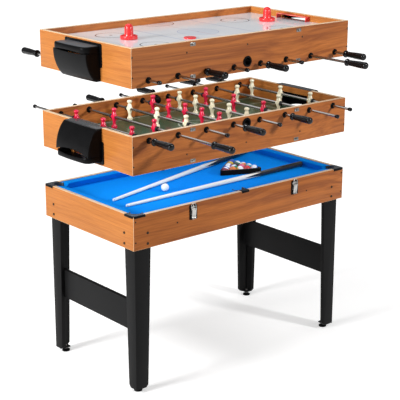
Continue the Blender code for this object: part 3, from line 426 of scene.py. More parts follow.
def ball_resin():
    """Polished ball resin. Each ball's tone, and the height across its stripe, are on its points."""
    material, tree, shader, place = shaded("ball_resin", roughness=0.08, coat=0.6, coat_roughness=0.03)
    tone = add_node(tree, "ShaderNodeAttribute", attribute_name="tone").outputs["Color"]
    band = add_node(tree, "ShaderNodeAttribute", attribute_name="band").outputs["Fac"]
    inside = within(tree, band, 0.52, 0.03)
    cloudy = noise(tree, place, 90.0, detail=2.0)
    ivory = ramp(tree, cloudy, [(0.3, (0.90, 0.89, 0.85)), (0.7, (0.95, 0.94, 0.91))])
    colour_to(tree, shader, blended(tree, inside, ivory, tone))
    rough_to(tree, shader, cloudy, 0.06, 0.11)
    return material


# Mesh helpers
def between(low, high, share):
    return low + (high - low) * share


def face_out(shape):
    bmesh.ops.recalc_face_normals(shape, faces=shape.faces)


def as_mesh(name, shape):
    mesh = bpy.data.meshes.new(name)
    shape.to_mesh(mesh)
    shape.free()
    return mesh


def linked(name, data):
    """A new object in the scene."""
    made = bpy.data.objects.new(name, data)
    bpy.context.scene.collection.objects.link(made)
    return made


def smooth_through(points, steps):
    """A finer run of points on a smooth curve through the given ones."""
    ends = [points[0]] + list(points) + [points[-1]]
    made = []
    for i in range(len(points) - 1):
        a, b, c, d = ends[i : i + 4]
        for j in range(steps):
            t = j / steps
            point = []
            for p, q, r, s in zip(a, b, c, d):
                squared, cubed = 2 * p - 5 * q + 4 * r - s, 3 * q - p - 3 * r + s
                point.append(0.5 * (2 * q + (r - p) * t + squared * t * t + cubed * t ** 3))
            made.append(tuple(point))
    return made + [tuple(points[-1])]


def loft(shape, rings, finish=0, ends=True, ring_closed=True):
    """Join rings of equally many points. Returns the rows of points."""
    rows = [[shape.verts.new(point) for point in ring] for ring in rings]
    count = len(rows[0])
    for low, high in zip(rows, rows[1:]):
        for i in range(count if ring_closed else count - 1):
            j = (i + 1) % count
            shape.faces.new((low[i], low[j], high[j], high[i])).material_index = finish
    if ends:
        for row in (rows[0], rows[-1]):
            shape.faces.new(row).material_index = finish
    return rows


def on_axis(axis, middle, along, a, b):
    """A point at a distance along an axis through middle, and a, b across it."""
    x, y, z = middle
    if axis == "X":
        return x + along, y + a, z + b
    return (x + a, y + along, z + b) if axis == "Y" else (x + a, y + b, z + along)


def lathe(shape, axis, middle, profile, sides, finish=0, wobble=None, ends=True):
    """Turn a profile of (along, radius) about an axis. Wobble scales the radius by place and angle."""
    rings = []
    for along, radius in profile:
        ring = []
        for i in range(sides):
            angle = 2 * math.pi * i / sides
            reach = radius * (wobble(along, angle) if wobble else 1.0)
            ring.append(on_axis(axis, middle, along, reach * math.cos(angle), reach * math.sin(angle)))
        rings.append(ring)
    return loft(shape, rings, finish, ends)


def ring_lathe(shape, axis, middle, profile, sides):
    """Turn a closed profile about an axis, which leaves a hole through the form."""
    rows = lathe(shape, axis, middle, profile, sides, ends=False)
    for i in range(sides):
        j = (i + 1) % sides
        shape.faces.new((rows[-1][i], rows[-1][j], rows[0][j], rows[0][i]))


def merge_in(shape, part):
    """Add a finished part to the shape, with its faces pointing out."""
    face_out(part)
    mesh = as_mesh("part", part)
    shape.from_mesh(mesh)
    bpy.data.meshes.remove(mesh)


def sharp_edges(shape, least_length=0.0):
    """Edges of a length or more that two faces meet in at more than 25 degrees."""
    long = [e for e in shape.edges if e.is_manifold and e.calc_length() >= least_length]
    return [e for e in long if e.calc_face_angle() > math.radians(25)]


def round_edges(shape, edges, width, segments, finish):
    """Round the edges, and give the new faces a finish, or the finish beside them when it is -1."""
    options = {"segments": segments, "profile": 0.6, "affect": "EDGES", "material": finish}
    bmesh.ops.bevel(shape, geom=edges, offset=width, **options)


def prism(shape, outline, low, high, axis="Z", finish=0, edge=0.0, edge_finish=None, segments=2):
    """Push a flat outline along an axis, and round its edges."""
    part = bmesh.new()
    order = {"X": (2, 0, 1), "Y": (0, 2, 1), "Z": (0, 1, 2)}[axis]
    rings = [[(a, b, c) for a, b in outline] for c in (low, high)]
    loft(part, [[tuple(point[i] for i in order) for point in ring] for ring in rings], finish)
    if edge:
        face_out(part)
        mark = -1 if edge_finish is None else edge_finish
        round_edges(part, sharp_edges(part), edge, segments, mark)
    merge_in(shape, part)


def box(shape, low, high, finish=0, edge=0.0, edge_finish=None, segments=2):
    outline = [(low[0], low[1]), (high[0], low[1]), (high[0], high[1]), (low[0], high[1])]
    prism(shape, outline, low[2], high[2], "Z", finish, edge, edge_finish, segments)


def tube(shape, path, radius, sides):
    """A round wire along a path."""
    points = [Vector(p) for p in path]
    rings, normal = [], None
    count = len(points)
    for i, point in enumerate(points):
        before, after = points[max(i - 1, 0)], points[min(i + 1, count - 1)]
        ahead = (after - before).normalized()
        if normal is None:
            normal = ahead.orthogonal().normalized()
        normal = (normal - ahead * normal.dot(ahead)).normalized()
        side = ahead.cross(normal)
        turns = [2 * math.pi * j / sides for j in range(sides)]
        rings.append([point + (normal * math.cos(t) + side * math.sin(t)) * radius for t in turns])
    part = bmesh.new()
    loft(part, rings)
    merge_in(shape, part)


def piece(name, shape, finishes, body, replaces=(), smooth=32, place=None, outwards=False):
    """Make the shape a finished piece that rides on a body."""
    if outwards:
        face_out(shape)
    if place is not None:
        bmesh.ops.transform(shape, matrix=place, verts=shape.verts)
    return dressed(name, as_mesh(name, shape), finishes, body, replaces, smooth)


def dressed(name, mesh, finishes, body, replaces=(), smooth=32):
    if len(mesh.materials):
        mesh.materials.clear()
    for finish in finishes:
        mesh.materials.append(finish)
    mesh.shade_smooth()
    mesh.set_sharp_from_angle(angle=math.radians(smooth))
    made = linked(name, mesh)
    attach(made, body)
    if replaces:
        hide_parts(*replaces)
    return made


def applied(item):
    """The item's mesh as its modifiers leave it, with the item itself taken away."""
    bpy.context.view_layer.update()
    graph = bpy.context.evaluated_depsgraph_get()
    mesh = bpy.data.meshes.new_from_object(item.evaluated_get(graph))
    item.modifiers.clear()
    bpy.data.objects.remove(item, do_unlink=True)
    return mesh


def loose(name, shape):
    """A plain helper object, taken away again once it has been used."""
    return linked(name, as_mesh(name, shape))


def cut_away(shape, tool):
    """The shape with the tool's volume taken out of it."""
    target, cutter = loose("target", shape), loose("cutter", tool)
    cut = target.modifiers.new("cut", "BOOLEAN")
    cut.operation = "DIFFERENCE"
    cut.solver = "EXACT"
    cut.use_self = False
    cut.object = cutter
    mesh = applied(target)
    bpy.data.objects.remove(cutter, do_unlink=True)
    result = bmesh.new()
    result.from_mesh(mesh)
    return result


def node_copy(node):
    """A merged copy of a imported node's mesh, with its flat faces joined up again."""
    shape = bmesh.new()
    shape.from_mesh(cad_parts[node].data)
    bmesh.ops.remove_doubles(shape, verts=shape.verts, dist=2e-6)
    bmesh.ops.dissolve_limit(shape, angle_limit=math.radians(0.5), verts=shape.verts, edges=shape.edges)
    return shape


# Geometry Nodes helpers
def new_tree(name, sizes):
    """A tree with a geometry input and output, and a named input for each size."""
    tree = bpy.data.node_groups.new(name, "GeometryNodeTree")
    tree.interface.new_socket("Geometry", in_out="INPUT", socket_type="NodeSocketGeometry")
    for label, (kind, value) in sizes.items():
        socket = tree.interface.new_socket(label, in_out="INPUT", socket_type=kind)
        if value is not None:
            socket.default_value = value
    tree.interface.new_socket("Geometry", in_out="OUTPUT", socket_type="NodeSocketGeometry")
    start = tree.nodes.new("NodeGroupInput")
    end = tree.nodes.new("NodeGroupOutput")
    return tree, start.outputs, end.inputs["Geometry"]


def close_tree(tree, geometry, finish, end):
    """Realize the instances, set their material and end the tree."""
    real = add_node(tree, "GeometryNodeRealizeInstances", {"Geometry": geometry}).outputs["Geometry"]
    painted = add_node(tree, "GeometryNodeSetMaterial", {"Geometry": real, "Material": finish})
    tree.links.new(painted.outputs["Geometry"], end)


def grown(tree, item, values):
    """Run a tree on an item with the given input values, and return the plain mesh."""
    modifier = item.modifiers.new("grow", "NODES")
    modifier.node_group = tree
    for socket in tree.interface.items_tree:
        if socket.in_out == "INPUT" and socket.name in values:
            modifier[socket.identifier] = values[socket.name]
    return applied(item)


def point_cloud(places):
    """An object with a point at each place, and the way that each faces as an attribute."""
    mesh = bpy.data.meshes.new("places")
    mesh.from_pydata([place for place, _ in places], [], [])
    facing = mesh.attributes.new("facing", "FLOAT_VECTOR", "POINT")
    for i, (_, out) in enumerate(places):
        facing.data[i].vector = out
    return linked("places", mesh)


def instances_facing(tree, points, instance):
    """Instances on the points, with their Z along each point's facing."""
    facing = add_node(tree, "GeometryNodeInputNamedAttribute", {"Name": "facing"}, data_type="FLOAT_VECTOR")
    facing = facing.outputs["Attribute"]
    turn = add_node(tree, "FunctionNodeAlignRotationToVector", {"Vector": facing}, axis="Z")
    inputs = {"Points": points, "Instance": instance, "Rotation": turn.outputs["Rotation"]}
    return add_node(tree, "GeometryNodeInstanceOnPoints", inputs).outputs["Instances"]


def fastener_tree(finish):
    """Copies of a made screw or bolt head on points, each at its own size and turned by chance."""
    sizes = {
        "Head": ("NodeSocketObject", None),
        "Size": ("NodeSocketFloat", 1.0),
        "Seed": ("NodeSocketInt", 3),
    }
    tree, given, end = new_tree("fasteners", sizes)
    head = add_node(tree, "GeometryNodeObjectInfo", {"Object": given["Head"]}, transform_space="ORIGINAL")
    copies = instances_facing(tree, given["Geometry"], head.outputs["Geometry"])
    inputs = {3: 2 * math.pi, "Seed": given["Seed"]}
    chance = add_node(tree, "FunctionNodeRandomValue", inputs, data_type="FLOAT")
    turn = combined(tree, Z=chance.outputs[1])
    turned = add_node(tree, "GeometryNodeRotateInstances", {"Instances": copies, "Rotation": turn})
    inputs = {"Instances": turned.outputs["Instances"], "Scale": given["Size"]}
    sized = add_node(tree, "GeometryNodeScaleInstances", inputs)
    close_tree(tree, sized.outputs["Instances"], finish, end)
    return tree


def halves(tree, a, b):
    """Half of the sum of two sizes, and their difference."""
    return times(tree, maths(tree, "ADD", a, b), 0.5), maths(tree, "SUBTRACT", a, b)


def swept_ring(tree, outer, bore, height, soft, sides):
    """A ring with rounded edges, standing on the plane Z = 0."""
    middle, wide = halves(tree, outer, bore)
    section = add_node(tree, "GeometryNodeCurvePrimitiveQuadrilateral", {"Width": wide, "Height": height})
    round_off = add_node(tree, "GeometryNodeFilletCurve", {"Curve": section.outputs["Curve"], "Radius": soft})
    poly_corners(round_off)
    path = add_node(tree, "GeometryNodeCurvePrimitiveCircle", {"Resolution": sides, "Radius": middle})
    inputs = {"Curve": path.outputs["Curve"], "Profile Curve": round_off.outputs["Curve"]}
    ring = add_node(tree, "GeometryNodeCurveToMesh", inputs).outputs["Mesh"]
    up = combined(tree, Z=times(tree, height, 0.5))
    return add_node(tree, "GeometryNodeTransform", {"Geometry": ring, "Translation": up}).outputs["Geometry"]


def poly_corners(node):
    """Rounded corners with a few steps, whichever way this version of the node takes its mode."""
    if "Mode" in node.inputs:
        node.inputs["Mode"].default_value = "Poly"
    else:
        node.mode = "POLY"
    node.inputs["Count"].default_value = 3


def bushing_tree(finish):
    """Bushings on points: a wide flange with a boss round the bore."""
    sizes = {
        "Bore": ("NodeSocketFloat", 0.0056),
        "Flange Radius": ("NodeSocketFloat", 0.0118),
        "Flange Height": ("NodeSocketFloat", 0.0028),
        "Boss Radius": ("NodeSocketFloat", 0.0084),
        "Boss Height": ("NodeSocketFloat", 0.0044),
        "Edge Round": ("NodeSocketFloat", 0.0007),
    }
    tree, given, end = new_tree("rod_bushings", sizes)
    soft = given["Edge Round"]
    flange = swept_ring(tree, given["Flange Radius"], given["Bore"], given["Flange Height"], soft, 40)
    boss = swept_ring(tree, given["Boss Radius"], given["Bore"], given["Boss Height"], soft, 32)
    both = add_node(tree, "GeometryNodeJoinGeometry")
    for part in (flange, boss):
        tree.links.new(part, both.inputs["Geometry"])
    copies = instances_facing(tree, given["Geometry"], both.outputs["Geometry"])
    close_tree(tree, copies, finish, end)
    return tree


def men_tree(finish):
    """A row of men along a rod, centred on its middle."""
    sizes = {
        "Man": ("NodeSocketObject", None),
        "Count": ("NodeSocketInt", 3),
        "Spacing": ("NodeSocketFloat", 0.175),
        "Turn": ("NodeSocketFloat", 0.0),
    }
    tree, given, end = new_tree("men_on_rod", sizes)
    gaps = maths(tree, "SUBTRACT", given["Count"], 1.0)
    start = combined(tree, Y=times(tree, times(tree, gaps, given["Spacing"]), -0.5))
    step = combined(tree, Y=given["Spacing"])
    inputs = {"Count": given["Count"], "Start Location": start, "Offset": step}
    row = add_node(tree, "GeometryNodeMeshLine", inputs)
    man = add_node(tree, "GeometryNodeObjectInfo", {"Object": given["Man"]}, transform_space="ORIGINAL")
    turn = combined(tree, Y=given["Turn"])
    inputs = {"Points": row.outputs["Mesh"], "Instance": man.outputs["Geometry"], "Rotation": turn}
    copies = add_node(tree, "GeometryNodeInstanceOnPoints", inputs)
    close_tree(tree, copies.outputs["Instances"], finish, end)
    return tree


# Finishes in use
FRONT_TONES = (0.57, 0.182, 0.037), (0.32, 0.088, 0.018)
# The end tones are painted lighter than the long boards' tones: painted light for the lamp on the faces that
# face along X. Their grain runs along Y.
END_TONES_PAINTED_LIT = (0.57, 0.212, 0.045), (0.44, 0.142, 0.027)
FRONT_WOOD = cherry_board("cherry_long_board", "X", (0.31, 0.07, 0.02), *FRONT_TONES, 0.60, 0.16)
END_WOOD = cherry_board("cherry_end_board_painted_lit", "Y", (0.11, 0.23, 0.05), *END_TONES_PAINTED_LIT, 0.35, 0.05)
# The pale band on rims and rounded edges is partly edge band and partly a painted highlight.
EDGE = pale_edge_and_highlight()
BLACK = black_board()
CLOTH = billiard_cloth()
PLASTIC = moulded_plastic("moulded_black", (0.0055, 0.0055, 0.006), 0.30, 0.42, 0.05)
# A lighter blue-grey copy of the black plastic: painted sheen, for the caps, collars, the hoods' flat tops
# and the rack's top.
SHEEN_PLASTIC = moulded_plastic("painted_sheen_plastic", (0.050, 0.053, 0.060), 0.22, 0.34, 0.3)
TRAY_GREY = moulded_plastic("tray_plastic", (0.030, 0.031, 0.034), 0.30, 0.42, 0.3)
# The hockey box's tray is a paler copy of the same tray plastic: painted light, where its bottom faces up.
TRAY_PAINTED_LIT = moulded_plastic("tray_plastic_painted_lit", (0.105, 0.115, 0.130), 0.34, 0.46, 0.3)
GRIP = moulded_plastic("grip_rubber", (0.0038, 0.0038, 0.0045), 0.15, 0.22, 0.22)
RED = coloured_plastic("red_plastic", (0.84, 0.040, 0.042), (0.72, 0.022, 0.026))
MAN_RED = coloured_plastic("crimson_men", (0.78, 0.012, 0.070), (0.62, 0.006, 0.045))
MAN_CREAM = coloured_plastic("cream_men", (0.92, 0.87, 0.67), (0.84, 0.76, 0.52))
STEEL = plated_metal("rod_steel", (0.46, 0.45, 0.44), (0.30, 0.29, 0.285), 0.16, 0.28, (900, 12, 900))
NICKEL = plated_metal("nickel_plate", (0.46, 0.455, 0.44), (0.30, 0.295, 0.28), 0.26, 0.38, (90, 90, 90))
KEEPER = plated_metal("keeper_plate", (0.27, 0.265, 0.25), (0.15, 0.145, 0.14), 0.24, 0.36, (90, 90, 90))
BOLT = plated_metal("dark_bolt", (0.075, 0.05, 0.035), (0.04, 0.028, 0.02), 0.30, 0.45, (300, 300, 300))
RUBBER = rubber_finish()
PITCH = green_pitch()
RINK = rink_print()
HARDBOARD = raw_board()
CUE_PAINT = cue_lacquer()
RESIN = ball_resin()

# The hockey box is the same box turned over about its long axis
OVER = Matrix.Translation((0, 0, FOOSBALL_RIM + HOCKEY_RIM)) @ Matrix.Rotation(math.pi, 4, "X")


# Pool base
def at_joint(edge):
    """Whether an upright edge lies where a long board meets an end board."""
    middle = (edge.verts[0].co + edge.verts[1].co) / 2
    return abs(abs(middle.y) - INNER_WIDTH) < 0.0006 and abs(middle.x) > INNER_LENGTH - 0.002


def free_edges(shape, least_length):
    return [e for e in sharp_edges(shape, least_length) if not at_joint(e)]


def apron_profile(half, step):
    """Side view of an apron: its top edge steps down where the caps and the side lips lie."""
    low = BASE_TOP - 0.003
    right = [(step, BASE_TOP), (step, low), (half, low), (half, APRON_BOTTOM)]
    if half == HALF_LENGTH:
        right = [(0.0203, low), (0.0203, BASE_TOP)] + right
    return [(-x, z) for x, z in reversed(right)] + right


def aprons():
    for name, side in (("front_apron", -1), ("back_apron", 1)):
        ys = sorted((side * INNER_WIDTH, side * HALF_WIDTH))
        shape = bmesh.new()
        prism(shape, apron_profile(HALF_LENGTH, 0.4807), ys[0], ys[1], "Y")
        apron(f"{name}_board", shape, name)
    for name, side in (("left_apron", -1), ("right_apron", 1)):
        xs = sorted((side * INNER_LENGTH, side * HALF_LENGTH))
        shape = bmesh.new()
        prism(shape, apron_profile(INNER_WIDTH - 0.0003, 0.2307), xs[0], xs[1], "X")
        apron(f"{name}_board", shape, name)


def apron(name, shape, node):
    """Paint an apron's faces and round its edges, but for those that meet the next apron."""
    # Tops and rounded edges take the pale band, partly edge band and partly a painted highlight; faces along
    # X take the end wood, whose tone is painted lighter as painted light.
    for face in shape.faces:
        top = face.normal.z > 0.9
        face.material_index = 1 if top else 2 if abs(face.normal.x) > 0.9 else 0
    round_edges(shape, free_edges(shape, 0.0), 0.0009, 2, 1)
    piece(name, shape, [FRONT_WOOD, EDGE, END_WOOD], "base", [node])


def pocket_places():
    corners = [(-POCKET_X, -POCKET_Y), (POCKET_X, -POCKET_Y), (POCKET_X, POCKET_Y), (-POCKET_X, POCKET_Y)]
    return corners + [(0.0, -POCKET_Y), (0.0, POCKET_Y)]


def bed():
    """Cloth-covered board with six round wells, and a smooth cup under each."""
    shape = bmesh.new()
    box(shape, (-0.5197, -0.2697, BED_TOP - 0.009), (0.5197, 0.2697, BED_TOP))
    tool = bmesh.new()
    well = [(BED_TOP - 0.023, POCKET_RADIUS), (BED_TOP + 0.017, POCKET_RADIUS)]
    for x, y in pocket_places():
        lathe(tool, "Z", (x, y, 0.0), well, 48)
    face_out(tool)
    shape = cut_away(shape, tool)
    for face in shape.faces:
        face.material_index = 1 if face.normal.z < -0.9 else 0
    piece("pool_bed_cloth", shape, [CLOTH, HARDBOARD], "base", ["pool_bed"])
    cups = bmesh.new()
    for x, y in pocket_places():
        r, floor = POCKET_RADIUS, BED_TOP - 0.033
        profile = [(floor, 0.0035), (floor, 0.017), (floor + 0.002, 0.0225), (floor + 0.006, r + 0.0024)]
        rim = [(-0.0092, 0.0026), (-0.0092, -0.0002), (0.0004, -0.0002), (0.0006, -0.0008), (0.0002, -0.0012)]
        profile += [(BED_TOP + rise, r + out) for rise, out in rim]
        profile += [(floor + 0.008, r - 0.0015), (floor + 0.004, 0.0195)]
        profile += [(floor + 0.0022, 0.016), (floor + 0.0022, 0.0035)]
        ring_lathe(cups, "Z", (x, y, 0.0), profile, 48)
    piece("pocket_cups", cups, [PLASTIC], "base", outwards=True)


CUSHION_SECTION = [(0.0003, 0.6733), (0.0003, 0.698), (0.014, 0.6981), (0.0255, 0.698), (0.0282, 0.6973)]
CUSHION_SECTION += [(0.0298, 0.6955), (0.0300, 0.6935), (0.0292, 0.6915), (0.0268, 0.6865), (0.0245, 0.6733)]


def cushion(shape, place, inwards, along, start, end, lean):
    """A cushion along a wall: start and end are its ends at the wall, and lean is how they slant inwards."""
    rows = []
    steps = 14
    for i in range(steps + 1):
        ring = []
        for d, z in CUSHION_SECTION:
            low, high = start + lean[0] * d, end - lean[1] * d
            s = between(low, high, i / steps)
            point = Vector(place) + Vector(inwards) * d + Vector(along) * s
            ring.append((point.x, point.y, z))
        rows.append(ring)
    loft(shape, rows)


def cushions():
    shape = bmesh.new()
    for side in (-1, 1):
        wall = (0.0, side * INNER_WIDTH, 0.0)
        for way in (-1, 1):
            cushion(shape, wall, (0, -side, 0), (way, 0, 0), 0.0245, POCKET_X - 0.0075, (0.28, 1.0))
        wall = (side * INNER_LENGTH, 0.0, 0.0)
        reach = POCKET_Y - 0.0075
        cushion(shape, wall, (-side, 0, 0), (0, 1, 0), -reach, reach, (1.0, 1.0))
    face_out(shape)
    ends = [e for e in shape.edges if e.is_manifold and e.calc_face_angle() > math.radians(60)]
    bmesh.ops.bevel(shape, geom=ends, offset=0.0008, segments=2, profile=0.5, affect="EDGES")
    piece("cushions", shape, [CLOTH], "base", ["cushion_frame"], smooth=40, outwards=True)


def corner_cap_outline():
    """Plan of a cap: outer corner at zero, arms along the aprons, and an arc round the pocket."""
    start = BOARD + 0.0266
    arm = [(0.006, 0.0), (0.0505, 0.0), (0.0532, 0.001), (0.054, 0.004), (0.054, 0.0135), (0.0525, 0.0150)]
    arc = [math.radians(a) for a in range(303, 146, -7)]
    outline = arm + [(start + LIP_RADIUS * math.cos(a), start + LIP_RADIUS * math.sin(a)) for a in arc]
    return outline + [(b, a) for a, b in reversed(arm)] + [(0.0018, 0.0018)]


def collar(shape, place, skip):
    """A black ring round a pocket, open towards the bed."""
    x, y = place
    rings = []
    steps = 44
    mouth = math.radians(skip)
    section = [(0.0235, 0.6737), (0.0233, 0.6968), (0.0238, 0.6980), (0.0252, 0.6983), (0.0259, 0.6975)]
    section.append((0.0260, 0.6737))
    heading = math.atan2(-y, 0.0 if x == 0.0 else -x * (abs(y) / abs(x)))
    for i in range(steps + 1):
        a = heading + mouth + (2 * math.pi - 2 * mouth) * i / steps
        rings.append([(x + r * math.cos(a), y + r * math.sin(a), z) for r, z in section])
    loft(shape, rings)


def pocket_trim():
    """Corner caps with a down-turned edge, side lips with a tab, and the pocket collars."""
    shape = bmesh.new()
    # Caps and collars take the lighter blue-grey plastic as a painted sheen; their rounded edges, the side
    # lips and the down-turned lips stay black.
    for x_side in (-1, 1):
        for y_side in (-1, 1):
            def placed(plan):
                return [(x_side * (HALF_LENGTH - a), y_side * (HALF_WIDTH - b)) for a, b in plan]

            prism(shape, placed(corner_cap_outline()), BASE_TOP - LIP_THICK, BASE_TOP, "Z", 0, 0.0006, 1)
            lip = [(0.0535, -0.0003), (0.0535, -0.0016), (0.006, -0.0016), (0.0015, -0.0002)]
            lip += [(b, a) for a, b in reversed(lip[:3])]
            lip += [(-0.0003, 0.0535), (-0.0003, 0.006), (0.0022, 0.0022), (0.006, -0.0003)]
            prism(shape, placed(lip), BASE_TOP - LIP_DROP, BASE_TOP - 0.0004, "Z", 1, 0.0004, 1)
    for side in (-1, 1):
        arc = [math.radians(a) for a in range(54, 127, 9)]
        plan = [(0.0198, HALF_WIDTH), (0.0200, INNER_WIDTH)]
        plan += [(LIP_RADIUS * math.cos(a), POCKET_Y + LIP_RADIUS * math.sin(a)) for a in arc]
        plan += [(-0.0200, INNER_WIDTH), (-0.0198, HALF_WIDTH)]
        outline = [(x, side * y) for x, y in plan]
        prism(shape, outline, BASE_TOP - LIP_THICK, BASE_TOP, "Z", 1, 0.0005, 1)
        ys = off_wall(side, 0.0002, 0.0016)
        box(shape, (-0.0185, ys[0], BASE_TOP - LIP_DROP), (0.0185, ys[1], BASE_TOP - 0.0004), 1, 0.0004, 1)
    for place in pocket_places():
        collar(shape, place, 74 if place[0] == 0.0 else 68)
    piece("pocket_trim", shape, [SHEEN_PLASTIC, PLASTIC], "base", outwards=True, smooth=40)


def game_board(name, node, body, paint, recess):
    """A packed board with its long edges rounded and pale, partly edge band and partly a painted highlight,
    but for those that meet the next board.
    """
    shape = node_copy(node)
    if recess:
        shape = cut_away(shape, recess)
    face_out(shape)
    for face in shape.faces:
        face.material_index = paint(face)
    round_edges(shape, free_edges(shape, 0.1), 0.0009, 2, 1)
    piece(name, shape, [FRONT_WOOD, EDGE, RED, END_WOOD], body, [node])


def rim_recesses(top):
    """The shallow steps in both end boards' rims that the goal hoods' flat tops lie in."""
    tool = bmesh.new()
    for side in (-1, 1):
        xs = sorted((side * (INNER_LENGTH - 0.001), side * (HALF_LENGTH + 0.001)))
        low, high = (top - 0.0014, top + 0.001) if top == FOOSBALL_RIM else (top - 0.001, top + 0.0014)
        box(tool, (xs[0], -HOOD_HALF, low), (xs[1], HOOD_HALF, high))
    return tool


def legs():
    for x_name, x_side in (("left", -1), ("right", 1)):
        for y_name, y_side in (("front", -1), ("back", 1)):
            name = f"{y_name}_{x_name}"
            shape = node_copy(f"{name}_leg")
            face_out(shape)
            round_edges(shape, sharp_edges(shape, 0.008), 0.0010, 2, -1)
            piece(f"{name}_leg_boards", shape, [BLACK], "base", [f"{name}_leg"])
            levelling_foot(f"{name}_foot", x_side * 0.491, y_side * 0.241)
        xs = sorted((x_side * 0.5034, x_side * 0.4874))
        shape = bmesh.new()
        box(shape, (xs[0], -0.2534, 0.239), (xs[1], 0.2534, 0.355), 0, 0.0011, 0, 3)
        piece(f"{x_name}_leg_panel_board", shape, [BLACK], "base", [f"{x_name}_leg_panel"])


def levelling_foot(name, x, y):
    """A moulded disc, a hex nut and a threaded stud."""
    shape = bmesh.new()
    disc = [(0.0, 0.0148), (0.0006, 0.0157), (0.0014, 0.0160), (0.0052, 0.0160), (0.0060, 0.0155)]
    disc += [(0.0066, 0.0138), (0.0082, 0.0072), (0.0090, 0.0052), (0.0090, 0.0038)]
    lathe(shape, "Z", (x, y, 0.0), disc, 40)
    nut = bmesh.new()
    corner = 0.0075
    turns = [math.radians(a) for a in range(0, 360, 60)]
    outline = [(x + corner * math.cos(a), y + corner * math.sin(a)) for a in turns]
    prism(nut, outline, 0.0118, 0.0157, "Z", 1, 0.0006, 1, 2)
    merge_in(shape, nut)
    thread = []
    for i in range(29):
        z = 0.0085 + 0.0190 * i / 28
        thread.append((z, 0.0039 if i % 2 else 0.0034))
    lathe(shape, "Z", (x, y, 0.0), thread, 20, 1)
    piece(f"{name}_glide", shape, [PLASTIC, STEEL], name, [name], outwards=True)


def latches():
    """Draw latches: a black backing plate, a bright base with ears, pin and wire loop, and a lever."""
    plates = bmesh.new()
    for y_name, y_side in (("front", -1), ("back", 1)):
        for x_name, x in (("left", -LATCH_X), ("right", LATCH_X)):
            low, high = off_wall(y_side, 0.0002, 0.0015)
            outline = rounded_panel(x, 0.6655, 0.0185, 0.0285, 0.0035)
            prism(plates, outline, low, high, "Y", 1, 0.0004, 1, 2)
            low, high = off_wall(y_side, 0.0014, 0.0020)
            prism(plates, rounded_panel(x, 0.671, 0.0115, 0.016, 0.002), low, high, "Y", 0, 0.0002, 0, 2)
            for ear in (-1, 1):
                xs = sorted((x + ear * 0.0103, x + ear * 0.0117))
                low, high = off_wall(y_side, 0.0012, 0.0073)
                box(plates, (xs[0], low, 0.6735), (xs[1], high, 0.6825), 0, 0.0003, 0)
            pin = [(-0.0125, 0.0007), (-0.0122, 0.0010), (0.0122, 0.0010), (0.0125, 0.0007)]
            lathe(plates, "X", (x, y_side * (HALF_WIDTH + 0.0045), LATCH_PIVOT), pin, 16)
            for z in (0.6415, 0.6885):
                rivet = [(y_side * 0.0013, 0.0030), (y_side * 0.0024, 0.0028), (y_side * 0.0029, 0.0018)]
                lathe(plates, "Y", (x, y_side * HALF_WIDTH, z), rivet, 18)
            latch_loop(plates, x, y_side)
            latch_lever(f"{y_name}_{x_name}_latch", x, y_side)
    piece("latch_bases", plates, [NICKEL, PLASTIC], "base", outwards=True)


def off_wall(side, near, far):
    """The Y range, low first, between two distances outside a long board."""
    return sorted((side * (HALF_WIDTH + near), side * (HALF_WIDTH + far)))


def rounded_panel(x, z, half_x, half_z, radius):
    points = []
    for cx, cz, start in ((1, 1, 0), (-1, 1, 90), (-1, -1, 180), (1, -1, 270)):
        for step in range(0, 91, 18):
            a = math.radians(start + step)
            px = x + cx * (half_x - radius) + radius * math.cos(a)
            points.append((px, z + cz * (half_z - radius) + radius * math.sin(a)))
    return points


def latch_loop(shape, x, y_side):
    """The wire loop that a latch pulls down with, standing up from the ears."""
    foot, top, lean = 0.680, 0.6980, 0.06
    loop = [(-0.0110, foot), (-0.0108, 0.686), (-0.0100, 0.692), (-0.0082, 0.6962), (-0.0055, top)]
    loop += [(0.0, top)] + [(-a, z) for a, z in reversed(loop)]
    wire = []
    for a, z in smooth_through(loop, 4):
        wire.append((x + a, y_side * (HALF_WIDTH + 0.0050 - lean * (z - foot)), z))
    tube(shape, wire, 0.0010, 10)


def latch_lever(name, x, y_side):
    """A bent plate: a barrel round the pin, a slanting back and a curled lower end."""
    path = [(-0.0016, 0.0008), (0.0000, 0.0018), (0.0015, 0.0011), (0.0023, -0.0010), (0.0026, -0.0050)]
    path += [(0.0010, -0.022), (-0.0006, -0.0300), (-0.0002, -0.0340), (0.0018, -0.0368), (0.0040, -0.0378)]
    rings = smooth_through(path, 4)
    half, thick = 0.0098, 0.0006
    rows = []
    for i, (a, b) in enumerate(rings):
        before, after = rings[max(i - 1, 0)], rings[min(i + 1, len(rings) - 1)]
        da, db = after[0] - before[0], after[1] - before[1]
        size = math.hypot(da, db)
        na, nb = -db / size, da / size
        ring = []
        near, far = half - 0.0006, half
        for s, t in ((-far, -1), (-near, -1), (near, -1), (far, -1), (far, 1), (-far, 1)):
            lift = thick * t
            out = HALF_WIDTH + 0.0045 + a + na * lift
            ring.append((x + s, y_side * out, LATCH_PIVOT + b + nb * lift))
        rows.append(ring)
    shape = bmesh.new()
    loft(shape, rows)
    piece(f"{name}_lever_plate", shape, [NICKEL], name, [f"{name}_lever"], outwards=True)


# Fasteners
def screw_head():
    """A pan head with a cross recess, one unit across its radius."""
    shape = bmesh.new()
    profile = [(-0.25, 0.98), (0.02, 1.0), (0.16, 0.97), (0.30, 0.86), (0.40, 0.66), (0.44, 0.40)]
    profile.append((0.45, 0.22))
    lathe(shape, "Z", (0, 0, 0), profile, 24)
    face_out(shape)
    arm, half = 0.62, 0.12
    plus = [(arm, -half), (arm, half), (half, half), (half, arm), (-half, arm), (-half, half)]
    plus += [(-a, -b) for a, b in plus]
    tool = bmesh.new()
    prism(tool, plus, 0.20, 0.7)
    return loose("screw_head", cut_away(shape, tool))


